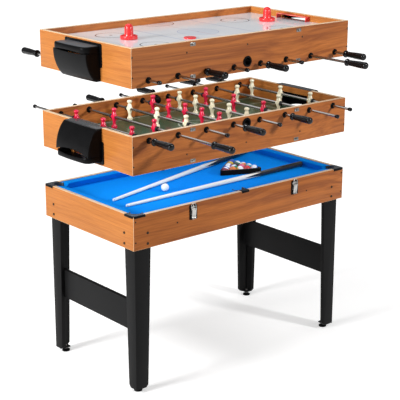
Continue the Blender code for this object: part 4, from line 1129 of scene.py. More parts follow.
def bolt_head():
    """A domed bolt with a hex socket, one unit across its radius."""
    shape = bmesh.new()
    profile = [(-0.25, 1.0), (0.10, 1.0), (0.26, 0.94), (0.42, 0.80), (0.50, 0.62), (0.52, 0.50)]
    lathe(shape, "Z", (0, 0, 0), profile, 28)
    tool = bmesh.new()
    lathe(tool, "Z", (0, 0, 0), [(0.12, 0.36), (0.9, 0.36)], 6)
    face_out(shape)
    face_out(tool)
    return loose("bolt_head", cut_away(shape, tool))


def fasteners():
    """Screws and bolts of all three tiers, one piece for each kind and body."""
    heads = {"screw": screw_head(), "bolt": bolt_head()}
    ends, longs = HALF_LENGTH + 0.0002, HALF_WIDTH + 0.0002
    bolts = []
    for side in (-1, 1):
        for x_side in (-1, 1):
            for z in (0.628, 0.588):
                bolts.append(((x_side * 0.472, side * longs, z), (0, side, 0)))
                bolts.append(((side * ends, x_side * 0.229, z), (side, 0, 0)))
    screws = []
    for side in (-1, 1):
        corners = [(x, z) for x in (-0.526, 0.526) for z in (0.678, 0.600)]
        for x, z in corners + [(-0.335, 0.639), (0.328, 0.639)]:
            screws.append(((x, side * longs, z), (0, side, 0)))
    box_screws = []
    for side in (-1, 1):
        for x in (-0.531, 0.531):
            box_screws += [((x, side * longs, z), (0, side, 0)) for z in (0.881, 0.952)]
        box_screws += [((x, side * longs, 0.889), (0, side, 0)) for x in (-0.289, 0.0, 0.282)]
    turned_over = [(OVER @ Vector(place), OVER.to_3x3() @ Vector(out)) for place, out in box_screws]
    tree = fastener_tree(BOLT)
    for name, head, places, size, body in (
        ("leg_bolts", "bolt", bolts, 0.0052, "base"),
        ("apron_screws", "screw", screws, 0.0034, "base"),
        ("foosball_box_screws", "screw", box_screws, 0.0034, "foosball_box"),
        ("hockey_box_screws", "screw", turned_over, 0.0034, "hockey_box"),
    ):
        values = {"Head": heads[head], "Size": size, "Seed": len(places)}
        mesh = grown(tree, point_cloud(places), values)
        dressed(name, mesh, [BOLT], body)
    for head in heads.values():
        bpy.data.objects.remove(head, do_unlink=True)


def bushings():
    """A bushing on each face of the long boards round every rod, and a ring round each ball entry."""
    tree = bushing_tree(PLASTIC)
    wide_inner = {"Flange Radius": 0.0124, "Boss Radius": 0.0088}
    wide_inner.update({"Flange Height": 0.0014, "Boss Height": 0.0019, "Edge Round": 0.0004})
    entry_ring = {"Bore": 0.0138, "Flange Radius": 0.0208, "Flange Height": 0.0022}
    entry_ring.update({"Boss Radius": 0.0170, "Boss Height": 0.0034})
    for name, body, z, entry in (
        ("foosball", "foosball_box", FOOSBALL_ROD_HEIGHT, 0.963),
        ("hockey", "hockey_box", HOCKEY_ROD_HEIGHT, 1.1965),
    ):
        outer, inner, entries = [], [], []
        for side in (-1, 1):
            for number in FOOSBALL_RODS:
                x = (number - 4.5) * ROD_SPACING
                outer.append(((x, side * (HALF_WIDTH + 0.0001), z), (0, side, 0)))
                inner.append(((x, side * (INNER_WIDTH - 0.0001), z), (0, -side, 0)))
            entries.append(((0.0, side * (HALF_WIDTH + 0.0001), entry), (0, side, 0)))
            entries.append(((0.0, side * (INNER_WIDTH - 0.0001), entry), (0, -side, 0)))
        mesh = grown(tree, point_cloud(outer), {})
        dressed(f"{name}_outer_bushings", mesh, [PLASTIC], body, smooth=50)
        mesh = grown(tree, point_cloud(inner), wide_inner)
        dressed(f"{name}_inner_bushings", mesh, [PLASTIC], body, smooth=50)
        mesh = grown(tree, point_cloud(entries), entry_ring)
        dressed(f"{name}_entry_rings", mesh, [PLASTIC], body, smooth=50)
        shape = bmesh.new()
        for side in (-1, 1):
            y = [side * (INNER_WIDTH - 0.0180), side * (HALF_WIDTH - 0.0002)]
            profile = [(y[0], 0.0154), (y[1], 0.0154), (y[1], 0.0134), (y[0], 0.0134)]
            ring_lathe(shape, "Y", (0, 0, entry), profile, 40)
        piece(f"{name}_entry_sleeves", shape, [PLASTIC], body, outwards=True)


# Game boxes
def box_boards():
    # Rim tops take the pale band, partly edge band and partly a painted highlight; faces along X take the end
    # wood, painted lighter as painted light.
    def board_paint(face):
        middle = face.calc_center_median()
        if abs(face.normal.z) > 0.9 and middle.z > FOOSBALL_RIM - 0.0005:
            return 1
        return 3 if abs(face.normal.x) > 0.9 else 0

    def end_paint(face):
        middle = face.calc_center_median()
        if abs(face.normal.z) > 0.9 and middle.z > FOOSBALL_RIM - 0.0005:
            return 1
        inside = abs(middle.x) < INNER_LENGTH - 0.0005 and abs(middle.y) < 0.0875
        return 2 if inside else 3

    def frame_paint(face):
        middle = face.calc_center_median()
        if abs(face.normal.z) > 0.9 and middle.z > HOCKEY_RIM + BOX_HEIGHT - 0.0005:
            return 1
        if 0.49 < abs(middle.x) < INNER_LENGTH - 0.0005 and abs(middle.y) < 0.0875 and middle.z > 1.26:
            return 2
        between_walls = abs(middle.x) > INNER_LENGTH + 0.0001 and abs(middle.y) < INNER_WIDTH
        return 3 if abs(face.normal.x) > 0.9 or between_walls else 0

    for side in ("front", "back"):
        name = f"foosball_{side}_board"
        game_board(f"{name}_wood", name, "foosball_box", board_paint, None)
    for side in ("left", "right"):
        name = f"foosball_{side}_board"
        game_board(f"{name}_wood", name, "foosball_box", end_paint, rim_recesses(FOOSBALL_RIM))
    game_board("hockey_frame_wood", "hockey_frame", "hockey_box", frame_paint, rim_recesses(HOCKEY_RIM))


def decks():
    for box_name, pitch_up in (("foosball", True), ("hockey", False)):
        name, body = f"{box_name}_deck", f"{box_name}_box"
        low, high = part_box(name)

        def paint(face):
            z = face.calc_center_median().z
            if face.normal.z > 0.9 and z > high.z - 0.0002:
                return 0 if pitch_up else 1
            if face.normal.z < -0.9 and z < low.z + 0.0002:
                return 1 if pitch_up else 0
            return 2

        shape = node_copy(name)
        for face in shape.faces:
            face.material_index = paint(face)
        piece(f"{name}_boards", shape, [PITCH, RINK, HARDBOARD], body, [name])


# The moulded goal boxes in the foosball box's frame: depths below its rim, reaches out from its end board
HOOD_HALF, HOOD_TOP, HOOD_REACH, HOOD_BULGE = 0.1030, 0.0012, 0.0215, 0.0405
TRAY_HALF, TRAY_REACH, TRAY_CORNER, TRAY_BOTTOM = 0.1018, 0.0695, 0.028, 0.1265
MOULDED_WALL = 0.0026
SLOT_TOP, HOCKEY_SLOT_TOP, SLOT_BOTTOM, SLOT_END = 0.087, 0.099, 0.109, 0.1025
FLANGE_HALF, FLANGE_TOP, FLANGE_BOTTOM = 0.1142, 0.050, 0.1355


def goal_boxes():
    for name, body, turn, over in (
        ("foosball_left_goal_box", "foosball_box", 0.0, False),
        ("foosball_right_goal_box", "foosball_box", math.pi, False),
        ("hockey_left_goal_box", "hockey_box", 0.0, True),
        ("hockey_right_goal_box", "hockey_box", math.pi, True),
    ):
        place = Matrix.Rotation(turn, 4, "Z")
        if over:
            place = OVER @ place
        # The hockey box's tray bottom, which faces up, takes the paler copy: painted light.
        tray, slot_top = (TRAY_PAINTED_LIT, HOCKEY_SLOT_TOP) if over else (TRAY_GREY, SLOT_TOP)
        finishes, shape = [PLASTIC, SHEEN_PLASTIC, tray], goal_box(slot_top)
        piece(f"{name}_hood", shape, finishes, body, [name], place=place, smooth=38)


def moulded_plan(half, corner, bow):
    """Plan of a moulded wall, from the board out and back to it: (share of reach, more reach, y)."""
    plan = [(k / 4, 0.0, half) for k in range(5)]
    plan += [(1.0, corner * math.sin(a), half - corner + corner * math.cos(a)) for a in (0.39, 0.785, 1.18)]
    width = half - corner
    front = [width * (1.0 - 2.0 * k / 26) for k in range(27)]
    plan += [(1.0, corner + bow * (1.0 - (y / width) ** 2), y) for y in front]
    return plan + [(share, more, -y) for share, more, y in reversed(plan[:8])]


def moulded_shell(shape, levels, finishes):
    """A closed shell, open towards the board, from rings of (reach, plan, depth of a point)."""
    start = -HALF_LENGTH - 0.0004
    part = bmesh.new()
    rings = []
    for half, corner, bow, reach, depth in levels:
        ring = []
        for share, more, y in moulded_plan(half, corner, bow):
            d = depth(y, share)
            ring.append((start - share * (reach(d) - corner) - more, y, FOOSBALL_RIM - d))
        rings.append(ring)
    rows = loft(part, rings, ends=False, ring_closed=False)
    part.faces.new(rows[0]).material_index = finishes[0]
    part.faces.new(rows[-1]).material_index = finishes[1]
    part.faces.new([row[0] for row in rows] + [row[-1] for row in reversed(rows)])
    merge_in(shape, part)


def slot_depth(middle):
    """The depth of one lip of the slot: from the middle to where both lips meet at the sides."""

    def depth(y, share):
        aside = min(1.0, abs(y) / TRAY_HALF) ** 2.2 if share == 1.0 else 1.0
        return between(middle, SLOT_END, aside)

    return depth


def goal_box(slot_top):
    """A moulded hood over a ball tray with a crescent slot between them, on the left end."""
    shape = bmesh.new()
    upper, lower = slot_depth(slot_top), slot_depth(SLOT_BOTTOM)

    def hood_reach(shrink):
        def reach(d):
            left = 1.0 - min(1.0, max(0.0, d / 0.1))
            return HOOD_REACH + HOOD_BULGE * (1.0 - left * left) ** 0.8 - shrink

        return reach

    def down(top, share, drop=0.0):
        return lambda y, side: between(top, upper(y, side) - drop, share)

    inside = HOOD_HALF - MOULDED_WALL
    levels = []
    for k in range(9):
        levels.append((inside, 0.001, 0.003, hood_reach(MOULDED_WALL), down(HOOD_TOP + MOULDED_WALL, k / 8)))
    levels.append((HOOD_HALF - 0.0007, 0.0016, 0.003, hood_reach(0.0007), down(HOOD_TOP, 1.0)))
    for k in range(14, -1, -1):
        levels.append((HOOD_HALF, 0.0016, 0.003, hood_reach(0.0), down(HOOD_TOP + 0.0012, k / 14, 0.0008)))
    for inset, drop in ((0.0004, 0.0004), (0.0014, 0.0)):
        levels.append((HOOD_HALF - inset, 0.0016, 0.003, hood_reach(inset), down(HOOD_TOP + drop, 0.0)))
    # The hood's top face takes the lighter blue-grey plastic: painted sheen.
    moulded_shell(shape, levels, (0, 1))

    def ring(inset, depth):
        return (TRAY_HALF - inset, TRAY_CORNER - inset, 0.003, lambda d: TRAY_REACH - inset, depth)

    def under_lip(y, side):
        return lower(y, side) + 0.0010

    levels = [ring(MOULDED_WALL, lambda y, side: TRAY_BOTTOM - MOULDED_WALL), ring(MOULDED_WALL, under_lip)]
    levels += [ring(0.0019, lower), ring(0.0007, lower), ring(0.0, under_lip)]
    levels.append(ring(0.0, lambda y, side: TRAY_BOTTOM - 0.0055))
    for inset, rise in ((0.0008, 0.0032), (0.0024, 0.0014), (0.0048, 0.0004), (0.0075, 0.0)):
        levels.append(ring(inset, lambda y, side, rise=rise: TRAY_BOTTOM - rise))
    moulded_shell(shape, levels, (0, 2))

    out, near = -HALF_LENGTH - 0.0025, -HALF_LENGTH - 0.0004
    for side in (-1, 1):
        edge = [(HOOD_HALF - 0.001, FLANGE_TOP), (0.1085, FLANGE_TOP), (0.1125, 0.0515), (FLANGE_HALF, 0.056)]
        edge += [(FLANGE_HALF, 0.128), (0.1125, 0.1330), (0.1080, FLANGE_BOTTOM), (0.1, FLANGE_BOTTOM)]
        edge += [(0.1, 0.126), (HOOD_HALF - 0.001, 0.126)]
        outline = [(side * y, FOOSBALL_RIM - d) for y, d in edge]
        prism(shape, outline, out, near, "X", 0, 0.0006, 0)
    strip = (out, -0.1002, FOOSBALL_RIM - FLANGE_BOTTOM)
    box(shape, strip, (near, 0.1002, FOOSBALL_RIM - 0.1255), 0, 0.0006, 0)
    # A thin black sheet over the board behind the slot: painted shade, so that the inside of the slot shows
    # dark
    box(shape, (near - 0.0008, -0.1002, FOOSBALL_RIM - 0.1135), (near, 0.1002, FOOSBALL_RIM - 0.0835), 0)
    # The flat top plate takes the lighter blue-grey plastic: painted sheen.
    plate = (-HALF_LENGTH - 0.0195, -HOOD_HALF + 0.0004, FOOSBALL_RIM - 0.0014)
    box(shape, plate, (-INNER_LENGTH - 0.0002, HOOD_HALF - 0.0004, FOOSBALL_RIM - 0.0001), 1, 0.0005, 1)
    return shape


# Rods
# Height above the rod, half width, half depth and squareness of a player
MAN_ROWS = [
    (0.0353, 0.0024, 0.0023, 2.0), (0.0346, 0.0056, 0.0052, 2.0), (0.0330, 0.0085, 0.0080, 2.0),
    (0.0308, 0.0098, 0.0093, 2.0), (0.0284, 0.0101, 0.0096, 2.0), (0.0260, 0.0096, 0.0090, 2.0),
    (0.0239, 0.0081, 0.0076, 2.0), (0.0223, 0.0069, 0.0064, 2.0), (0.0205, 0.0066, 0.0060, 2.0),
    (0.0180, 0.0074, 0.0063, 2.1), (0.0140, 0.0089, 0.0070, 2.2), (0.0095, 0.0101, 0.0077, 2.3),
    (0.0045, 0.0105, 0.0082, 2.3), (0.0000, 0.0106, 0.0085, 2.3), (-0.0045, 0.0104, 0.0083, 2.3),
    (-0.0090, 0.0096, 0.0075, 2.3), (-0.0140, 0.0081, 0.0064, 2.2), (-0.0190, 0.0066, 0.0055, 2.2),
    (-0.0240, 0.0058, 0.0049, 2.3), (-0.0285, 0.0060, 0.0051, 2.5), (-0.0315, 0.0073, 0.0059, 2.8),
    (-0.0330, 0.0089, 0.0073, 3.2), (-0.0345, 0.0096, 0.0083, 3.6), (-0.0380, 0.0098, 0.0087, 4.0),
    (-0.0435, 0.0098, 0.0087, 4.4), (-0.0447, 0.0095, 0.0084, 4.4), (-0.0450, 0.0090, 0.0079, 4.4),
]


def superellipse(a, b, power, count):
    points = []
    for i in range(count):
        t = 2 * math.pi * i / count
        c, s = math.cos(t), math.sin(t)
        reach_a, reach_b = abs(c) ** (2 / power), abs(s) ** (2 / power)
        points.append((a * math.copysign(reach_a, c), b * math.copysign(reach_b, s)))
    return points


def man():
    """A player, feet down, with the rod through the body at zero."""
    shape = bmesh.new()
    rings = []
    for z, half_width, half_depth, power in MAN_ROWS:
        rings.append([(x, y, z) for x, y in superellipse(half_depth, half_width, power, 24)])
    loft(shape, rings)
    boss = [(-0.0107, 0.0072), (-0.0104, 0.0080), (0.0104, 0.0080), (0.0107, 0.0072)]
    lathe(shape, "Y", (0, 0, 0), boss, 24)
    face_out(shape)
    return loose("man", shape)


def grip_wobble(along, angle):
    """Rows of small bumps round and along a grip."""
    inside = min(1.0, max(0.0, (along - 0.020) / 0.006), max(0.0, (0.093 - along) / 0.006))
    lobes = 0.5 + 0.5 * math.cos(10 * angle)
    beads = 0.5 + 0.5 * math.cos(2 * math.pi * along / 0.0075)
    return 1.0 - 0.10 * inside * (1.0 - lobes * (0.35 + 0.65 * beads))


def handle(shape, middle, start, way):
    """A collar, a neck and a bumpy grip with a rounded end, outwards along Y."""
    plain = [(0.0000, 0.0060), (0.0000, 0.0124), (0.0008, 0.0136), (0.0020, 0.0141), (0.0050, 0.0141)]
    plain += [(0.0062, 0.0136), (0.0071, 0.0112), (0.0077, 0.0086), (0.0088, 0.0074), (0.0122, 0.0074)]
    plain.append((0.0134, 0.0082))
    grip = [(0.0142, 0.0096), (0.0152, 0.0105), (0.0170, 0.0109)]
    for i in range(1, 53):
        along = 0.0170 + 0.0770 * i / 52
        grip.append((along, between(0.0109, 0.0133, min(1.0, (along - 0.016) / 0.05))))
    grip += [(0.0965, 0.0130), (0.0990, 0.0123), (0.1012, 0.0110), (0.1028, 0.0090), (0.1037, 0.0062)]
    grip.append((0.1040, 0.0030))
    profile = [(way * a, r) for a, r in plain + grip]
    x, z = middle
    lathe(shape, "Y", (x, start, z), profile, 60, 0, lambda along, angle: grip_wobble(abs(along), angle))


def end_cap(shape, middle, end, way):
    """A rounded rubber cap over a rod's end, its outer end at the given place."""
    profile = [(0.0162, 0.0052), (0.0160, 0.0066), (0.0152, 0.0071), (0.0120, 0.0072), (0.0105, 0.0075)]
    profile += [(0.0080, 0.0078), (0.0045, 0.0078), (0.0022, 0.0070), (0.0007, 0.0052), (0.0000, 0.0028)]
    x, z = middle
    lathe(shape, "Y", (x, end, z), [(-way * a, r) for a, r in profile], 36)


def bumper_ring(shape, middle, y):
    profile = [(-0.0050, 0.0056), (-0.0050, 0.0084), (-0.0044, 0.0092), (-0.0034, 0.0095), (-0.0012, 0.0095)]
    profile += [(-0.0006, 0.0091), (0.0006, 0.0091)] + [(-a, r) for a, r in reversed(profile)]
    x, z = middle
    ring_lathe(shape, "Y", (x, y, z), profile, 32)


def rods():
    item = man()
    trees = {finish.name: men_tree(finish) for finish in (MAN_RED, MAN_CREAM)}
    for table, label, z, turn in (
        (FOOSBALL_RODS, "foosball", FOOSBALL_ROD_HEIGHT, 0.0),
        (HOCKEY_RODS, "hockey", HOCKEY_ROD_HEIGHT, math.pi / 2),
    ):
        for number, (count, side, offset, gap) in table.items():
            x = (number - 4.5) * ROD_SPACING
            body = f"{label}_rod_{number}"
            rod(body, (x, z), count, side, offset, gap, label == "foosball", number)
            finish = MAN_RED if number in RED_RODS else MAN_CREAM
            row = point_cloud([((0, 0, 0), (0, 0, 1))])
            values = {"Man": item, "Count": count, "Spacing": MEN_SPACING[count], "Turn": turn}
            mesh = grown(trees[finish.name], row, values)
            mesh.transform(Matrix.Translation((x, offset, z)))
            dressed(f"{body}_men", mesh, [finish], body, smooth=50)
    bpy.data.objects.remove(item, do_unlink=True)


def rod(body, middle, count, side, offset, gap, loose_bumper, number):
    """A steel bar with its handle, end cap and bumpers."""
    x, z = middle
    start = side * (HALF_WIDTH + gap)
    end = -side * (HALF_WIDTH + OVERHANG[count] - gap)
    shape = bmesh.new()
    inside = [start + side * 0.010, end + side * 0.012]
    steps = 24
    profile = [(between(inside[0], inside[1], i / steps), ROD_RADIUS) for i in range(steps + 1)]
    lathe(shape, "Y", (x, 0.0, z), profile, 32)
    piece(f"{body}_bar", shape, [STEEL], body, [body], outwards=True)
    shape = bmesh.new()
    handle(shape, middle, start, side)
    end_cap(shape, middle, end, -side)
    piece(f"{body}_grip_and_cap", shape, [GRIP], body, outwards=True, smooth=60)
    reach = MEN_SPACING[count] * (count - 1) / 2 + 0.0105 + 0.0003 + 0.005
    fixed = bmesh.new()
    bumper_ring(fixed, middle, offset - side * reach)
    if loose_bumper:
        ring = bmesh.new()
        bumper_ring(ring, middle, offset + side * reach)
        name = f"foosball_bumper_{number}"
        piece(f"{name}_ring", ring, [RUBBER], name, [name], outwards=True)
    else:
        bumper_ring(fixed, middle, offset + side * reach)
    piece(f"{body}_bumper", fixed, [RUBBER], body, outwards=True)


# Loose things
def cue(name, tip, turn_degrees):
    """A cue with tip, ferrule, spliced butt and rubber end, lying on the cloth."""
    profile = [(0.0, 0.0022), (0.0004, 0.0036), (0.0014, 0.0048), (0.0030, 0.0053), (0.0058, 0.0054)]
    profile += [(0.0062, 0.0055), (0.0165, 0.0056), (0.0170, 0.00555)]
    for i in range(1, 41):
        along = 0.0170 + (0.896 - 0.0170) * i / 40
        profile.append((along, 0.0055 + 0.0060 * (along - 0.0055) / (CUE_LENGTH - 0.0095)))
    profile += [(0.8975, 0.01135), (0.8985, 0.0114), (0.9095, 0.0113), (0.9120, 0.0104), (0.9135, 0.0088)]
    profile.append((CUE_LENGTH, 0.0066))
    shape = bmesh.new()
    sides = 40
    uv = shape.loops.layers.uv.new("cue")
    rows = lathe(shape, "X", (0, 0, 0), profile, sides)
    index = {}
    for row, (along, _) in zip(rows, profile):
        for i, vert in enumerate(row):
            index[vert] = (i, along)
    for face in shape.faces:
        spots = [index[loop.vert] for loop in face.loops]
        wraps = max(i for i, _ in spots) - min(i for i, _ in spots) > sides / 2
        for loop, (i, along) in zip(face.loops, spots):
            loop[uv].uv = ((i + sides if wraps and i == 0 else i) / sides, along)
    rise = math.atan2(0.006, CUE_LENGTH - 0.0095)
    place = Matrix.Translation((tip[0], tip[1], BED_TOP + 0.0003 + 0.0055))
    place = place @ Matrix.Rotation(math.radians(turn_degrees), 4, "Z") @ Matrix.Rotation(-rise, 4, "Y")
    piece(f"{name}_stick", shape, [CUE_PAINT], name, [name], place=place, outwards=True)


def ball_points(shape, centre, radius, axis, tone):
    """A polished ball. Its points keep its tone and, on a striped one, the height along its own axis."""
    part = bmesh.new()
    bmesh.ops.create_icosphere(part, subdivisions=4, radius=radius)
    tones = part.verts.layers.float_color.new("tone")
    bands = part.verts.layers.float.new("band")
    way = Vector(axis).normalized()
    for vert in part.verts:
        vert[tones] = (*tone[0], 1.0)
        height = abs(vert.co.dot(way)) / radius
        vert[bands] = height if tone[1] else 0.0
    bmesh.ops.translate(part, vec=Vector(centre), verts=part.verts)
    mesh = as_mesh("ball", part)
    shape.from_mesh(mesh)
    bpy.data.meshes.remove(mesh)


YELLOW, BLUE, RED_TONE = (0.80, 0.48, 0.02), (0.02, 0.09, 0.48), (0.66, 0.02, 0.02)
PURPLE, ORANGE, GREEN = (0.20, 0.03, 0.30), (0.80, 0.20, 0.02), (0.01, 0.26, 0.12)
MAROON, INK, PINK, TEAL = (0.28, 0.02, 0.03), (0.01, 0.01, 0.012), (0.80, 0.12, 0.20), (0.02, 0.40, 0.42)
IVORY = (0.93, 0.92, 0.88)
# Rows from the five-ball side: tone and whether it is a stripe
RACK_BALLS = [
    (MAROON, True), (ORANGE, False), (YELLOW, True), (RED_TONE, False), (BLUE, True),
    (BLUE, True), (GREEN, True), (PINK, False), (TEAL, True),
    (PURPLE, True), (INK, False), (ORANGE, True),
    (YELLOW, False), (GREEN, True), (BLUE, False),
]


def rack_corners(inradius, cut, steps):
    """A triangle with rounded corners, as one run of points."""
    reach = 2 * inradius
    turns = [math.radians(a) for a in (90, 210, 330)]
    corners = [Vector((reach * math.cos(a), reach * math.sin(a))) for a in turns]
    points = []
    for i, corner in enumerate(corners):
        a = corner.lerp(corners[i - 1], cut)
        b = corner.lerp(corners[(i + 1) % 3], cut)
        for k in range(steps + 1):
            t = k / steps
            points.append(a * (1 - t) ** 2 + corner * 2 * t * (1 - t) + b * t * t)
    return points


def rack_and_balls():
    row_step = 2 * BALL_RADIUS * math.sin(math.radians(60))
    inner = BALL_RADIUS + row_step * 4 / 3
    shape = bmesh.new()
    steps = 10
    rows = []
    for gap, cut, z in (
        (0.0030, 0.105, 0.0006), (0.0030, 0.105, 0.0), (0.0000, 0.09, 0.0), (0.0000, 0.09, 0.0206),
        (0.0006, 0.09, 0.0217), (0.0014, 0.095, 0.0220), (0.0024, 0.105, 0.0217), (0.0030, 0.105, 0.0206),
    ):
        rows.append([(p.x, p.y, z) for p in rack_corners(inner + gap, cut, steps)])
    loft(shape, rows + [rows[0]], ends=False)
    bmesh.ops.remove_doubles(shape, verts=shape.verts, dist=1e-6)
    place = Matrix.Translation((0.228, 0.0196, BED_TOP + 0.0004))
    place = place @ Matrix.Rotation(math.radians(-23.4), 4, "Z")
    # The frame's top faces take the lighter blue-grey plastic: a painted highlight along its top edge.
    for face in shape.faces:
        face.material_index = 1 if face.calc_center_median().z > 0.0210 else 0
    piece(
        "ball_rack_frame", shape, [PLASTIC, SHEEN_PLASTIC], "ball_rack", ["ball_rack"],
        place=place, outwards=True,
    )
    balls = bmesh.new()
    number = 0
    for row in range(5):
        for i in range(5 - row):
            x = (i - (4 - row) / 2) * 2 * BALL_RADIUS
            y = (row - 4 / 3) * row_step
            angle = 2.4 * number + 0.5
            axis = (0.55 * math.cos(angle), 0.55 * math.sin(angle), 1.0)
            ball_points(balls, (x, y, BALL_RADIUS), BALL_RADIUS - 0.00005, axis, RACK_BALLS[number])
            number += 1
    piece("racked_balls", balls, [RESIN], "ball_rack", place=place, smooth=80)
    white = bmesh.new()
    centre = (-0.186, -0.025, BED_TOP + 0.0002 + BALL_RADIUS)
    ball_points(white, centre, BALL_RADIUS, (0, 0, 1), (IVORY, False))
    piece("cue_ball", white, [RESIN], "base", smooth=80)


def pushers():
    profile = [(0.0004, 0.0285), (0.0, 0.0300), (0.0006, 0.0317), (0.0022, 0.0324), (0.0105, 0.0326)]
    profile += [(0.0124, 0.0322), (0.0136, 0.0311), (0.0140, 0.0297), (0.0134, 0.0282), (0.0114, 0.0266)]
    profile += [(0.0098, 0.0245), (0.0092, 0.0220), (0.0096, 0.0200), (0.0112, 0.0184), (0.0140, 0.0174)]
    profile += [(0.0190, 0.0168), (0.0270, 0.0164), (0.0340, 0.0162), (0.0400, 0.0160), (0.0440, 0.0155)]
    profile += [(0.0475, 0.0145), (0.0507, 0.0128), (0.0534, 0.0104), (0.0553, 0.0076), (0.0565, 0.0045)]
    profile.append((0.0569, 0.0015))
    for name, x, y in (("left_pusher", -0.314, 0.023), ("right_pusher", 0.402, 0.042)):
        shape = bmesh.new()
        lathe(shape, "Z", (x, y, RINK_HEIGHT), profile, 56)
        piece(f"{name}_body", shape, [RED], name, [name], outwards=True, smooth=60)
    shape = bmesh.new()
    puck = [(0.0, 0.0215), (0.0003, 0.0226), (0.0010, 0.0232), (0.0024, 0.0233), (0.0040, 0.0232)]
    puck += [(0.0047, 0.0226), (0.0050, 0.0214), (0.0046, 0.0190), (0.0044, 0.0100)]
    lathe(shape, "Z", (-0.128, -0.107, RINK_HEIGHT), puck, 48)
    piece("puck", shape, [RED], "hockey_box", outwards=True)


def keepers():
    """Small plates with a hook and two screws, at both rims of the long boards."""
    for label, body, over in (("foosball", "foosball_box", False), ("hockey", "hockey_box", True)):
        shape = bmesh.new()
        for side in (-1, 1):
            for x in (-0.262, 0.262):
                for z, way in ((FOOSBALL_RIM - 0.0125, 1), (FOOSBALL_RIM - BOX_HEIGHT + 0.0125, -1)):
                    keeper(shape, x, side, z, way)
        place = OVER if over else None
        piece(f"{label}_latch_keepers", shape, [KEEPER], body, outwards=True, place=place)


def keeper(shape, x, side, z, way):
    low, high = off_wall(side, 0.0001, 0.0012)
    prism(shape, rounded_panel(x, z, 0.0122, 0.0066, 0.0022), low, high, "Y", 0, 0.0003, 0, 2)
    hook = [(0.0008, -0.0030), (0.0045, -0.0030), (0.0058, -0.0018), (0.0058, 0.0026), (0.0046, 0.0030)]
    hook += [(0.0043, 0.0000), (0.0036, -0.0012), (0.0008, -0.0012)]
    outline = [(side * (HALF_WIDTH + d), z + way * h) for d, h in hook]
    prism(shape, outline, x - 0.0050, x + 0.0050, "X", 0, 0.0003, 0, 2)
    for s in (-1, 1):
        profile = [(0.0010, 0.0030), (0.0019, 0.0029), (0.0025, 0.0020), (0.0027, 0.0008)]
        profile = [(side * d, r) for d, r in profile]
        lathe(shape, "Y", (x + s * 0.0084, side * HALF_WIDTH, z), profile, 18)


aprons()
bed()
cushions()
pocket_trim()
legs()
latches()
fasteners()
bushings()
box_boards()
decks()
goal_boxes()
rods()
cue("back_cue", (-0.424, -0.010), 14.3)
cue("front_cue", (-0.430, -0.100), 0.25)
rack_and_balls()
pushers()
keepers()


# Floor, light and camera
def pale_floor():
    mesh = bpy.data.meshes.new("floor")
    mesh.from_pydata([(-30, -30, 0), (30, -30, 0), (30, 30, 0), (-30, 30, 0)], [], [(0, 1, 2, 3)])
    floor = linked("floor", mesh)
    material, tree, shader, place = shaded("floor_paper", roughness=0.9, specular=0.0)
    paths = add_node(tree, "ShaderNodeLightPath").outputs
    colour_to(tree, shader, blended(tree, paths["Is Diffuse Ray"], (0.90, 0.90, 0.90), (0.34, 0.34, 0.34)))
    seen = maths(tree, "MAXIMUM", paths["Is Camera Ray"], paths["Is Glossy Ray"], clamp=True)
    away = add_node(tree, "ShaderNodeVectorMath", {0: place}, operation="LENGTH").outputs["Value"]
    glow = times(tree, seen, span(tree, away, 1.0, 4.5, 0.36, 0.92))
    shader.inputs["Emission Color"].default_value = (1.0, 1.0, 1.0, 1.0)
    tree.links.new(glow, shader.inputs["Emission Strength"])
    mesh.materials.append(material)


def area_light(name, place, size, power):
    """A round lamp that faces the table's middle."""
    data = bpy.data.lights.new(name, "AREA")
    data.shape = "DISK"
    data.size = size
    data.energy = power
    lamp = linked(name, data)
    lamp.location = place
    lamp.rotation_euler = (Vector((0.0, 0.0, 0.8)) - Vector(place)).to_track_quat("-Z", "Y").to_euler()


def low_light(name, height, power):
    """A wide soft lamp that hangs close over one tier, and isn't seen itself."""
    data = bpy.data.lights.new(name, "AREA")
    data.shape = "RECTANGLE"
    data.size, data.size_y = 1.0, 0.5
    data.energy = power
    lamp = linked(name, data)
    lamp.location = (0.0, 0.0, height)
    lamp.visible_camera = False


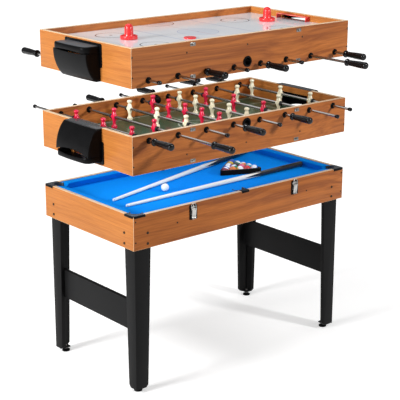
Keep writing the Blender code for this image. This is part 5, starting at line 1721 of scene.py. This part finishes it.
def studio():
    world = bpy.data.worlds.new("studio")
    bpy.context.scene.world = world
    world.use_nodes = True
    tree = world.node_tree
    tree.nodes.clear()
    soft = add_node(tree, "ShaderNodeBackground", {"Color": (1.0, 1.0, 1.0, 1.0), "Strength": 0.27})
    white = add_node(tree, "ShaderNodeBackground", {"Color": (1.0, 1.0, 1.0, 1.0), "Strength": 1.0})
    paths = add_node(tree, "ShaderNodeLightPath").outputs
    seen = maths(tree, "MAXIMUM", paths["Is Camera Ray"], paths["Is Transmission Ray"], clamp=True)
    chosen = add_node(tree, "ShaderNodeMixShader", {0: seen, 1: soft.outputs[0], 2: white.outputs[0]})
    out = add_node(tree, "ShaderNodeOutputWorld")
    tree.links.new(chosen.outputs[0], out.inputs["Surface"])
    area_light("left_lamp", (-4.6, 0.3, 2.3), 1.6, 250)
    area_light("front_lamp", (1.35, -2.9, 1.95), 0.32, 56)
    area_light("top_lamp", (-0.3, 0.4, 4.4), 2.6, 52)
    low_light("cloth_lamp", 0.846, 0.9)
    low_light("pitch_lamp", 1.155, 1.8)


def photo_camera():
    """The photograph's viewpoint: azimuth, elevation and roll in degrees, focal length in pixels of 400."""
    azimuth, elevation, roll = (math.radians(v) for v in (-40.02194, 16.57503, 0.12802))
    focal, shift_x, shift_y, distance = 1214.134, -0.00913, 0.09945, 4.83936
    level = math.cos(elevation)
    back = Vector((math.sin(azimuth) * level, -math.cos(azimuth) * level, math.sin(elevation)))
    right = Vector((0, 0, 1)).cross(back).normalized()
    up = back.cross(right)
    turned_right = right * math.cos(roll) + up * math.sin(roll)
    turned_up = up * math.cos(roll) - right * math.sin(roll)
    place = back * distance - turned_right * shift_x - turned_up * shift_y + Vector((0, 0, 0.7))
    data = bpy.data.cameras.new("photo_view")
    data.sensor_width = 36.0
    data.lens = focal * 36.0 / 400.0
    data.clip_end = 100.0
    camera = linked("photo_view", data)
    matrix = Matrix((turned_right, turned_up, back)).transposed().to_4x4()
    camera.matrix_world = Matrix.Translation(place) @ matrix
    bpy.context.scene.camera = camera


pale_floor()
studio()
photo_camera()
bpy.context.scene.view_settings.view_transform = "Standard"
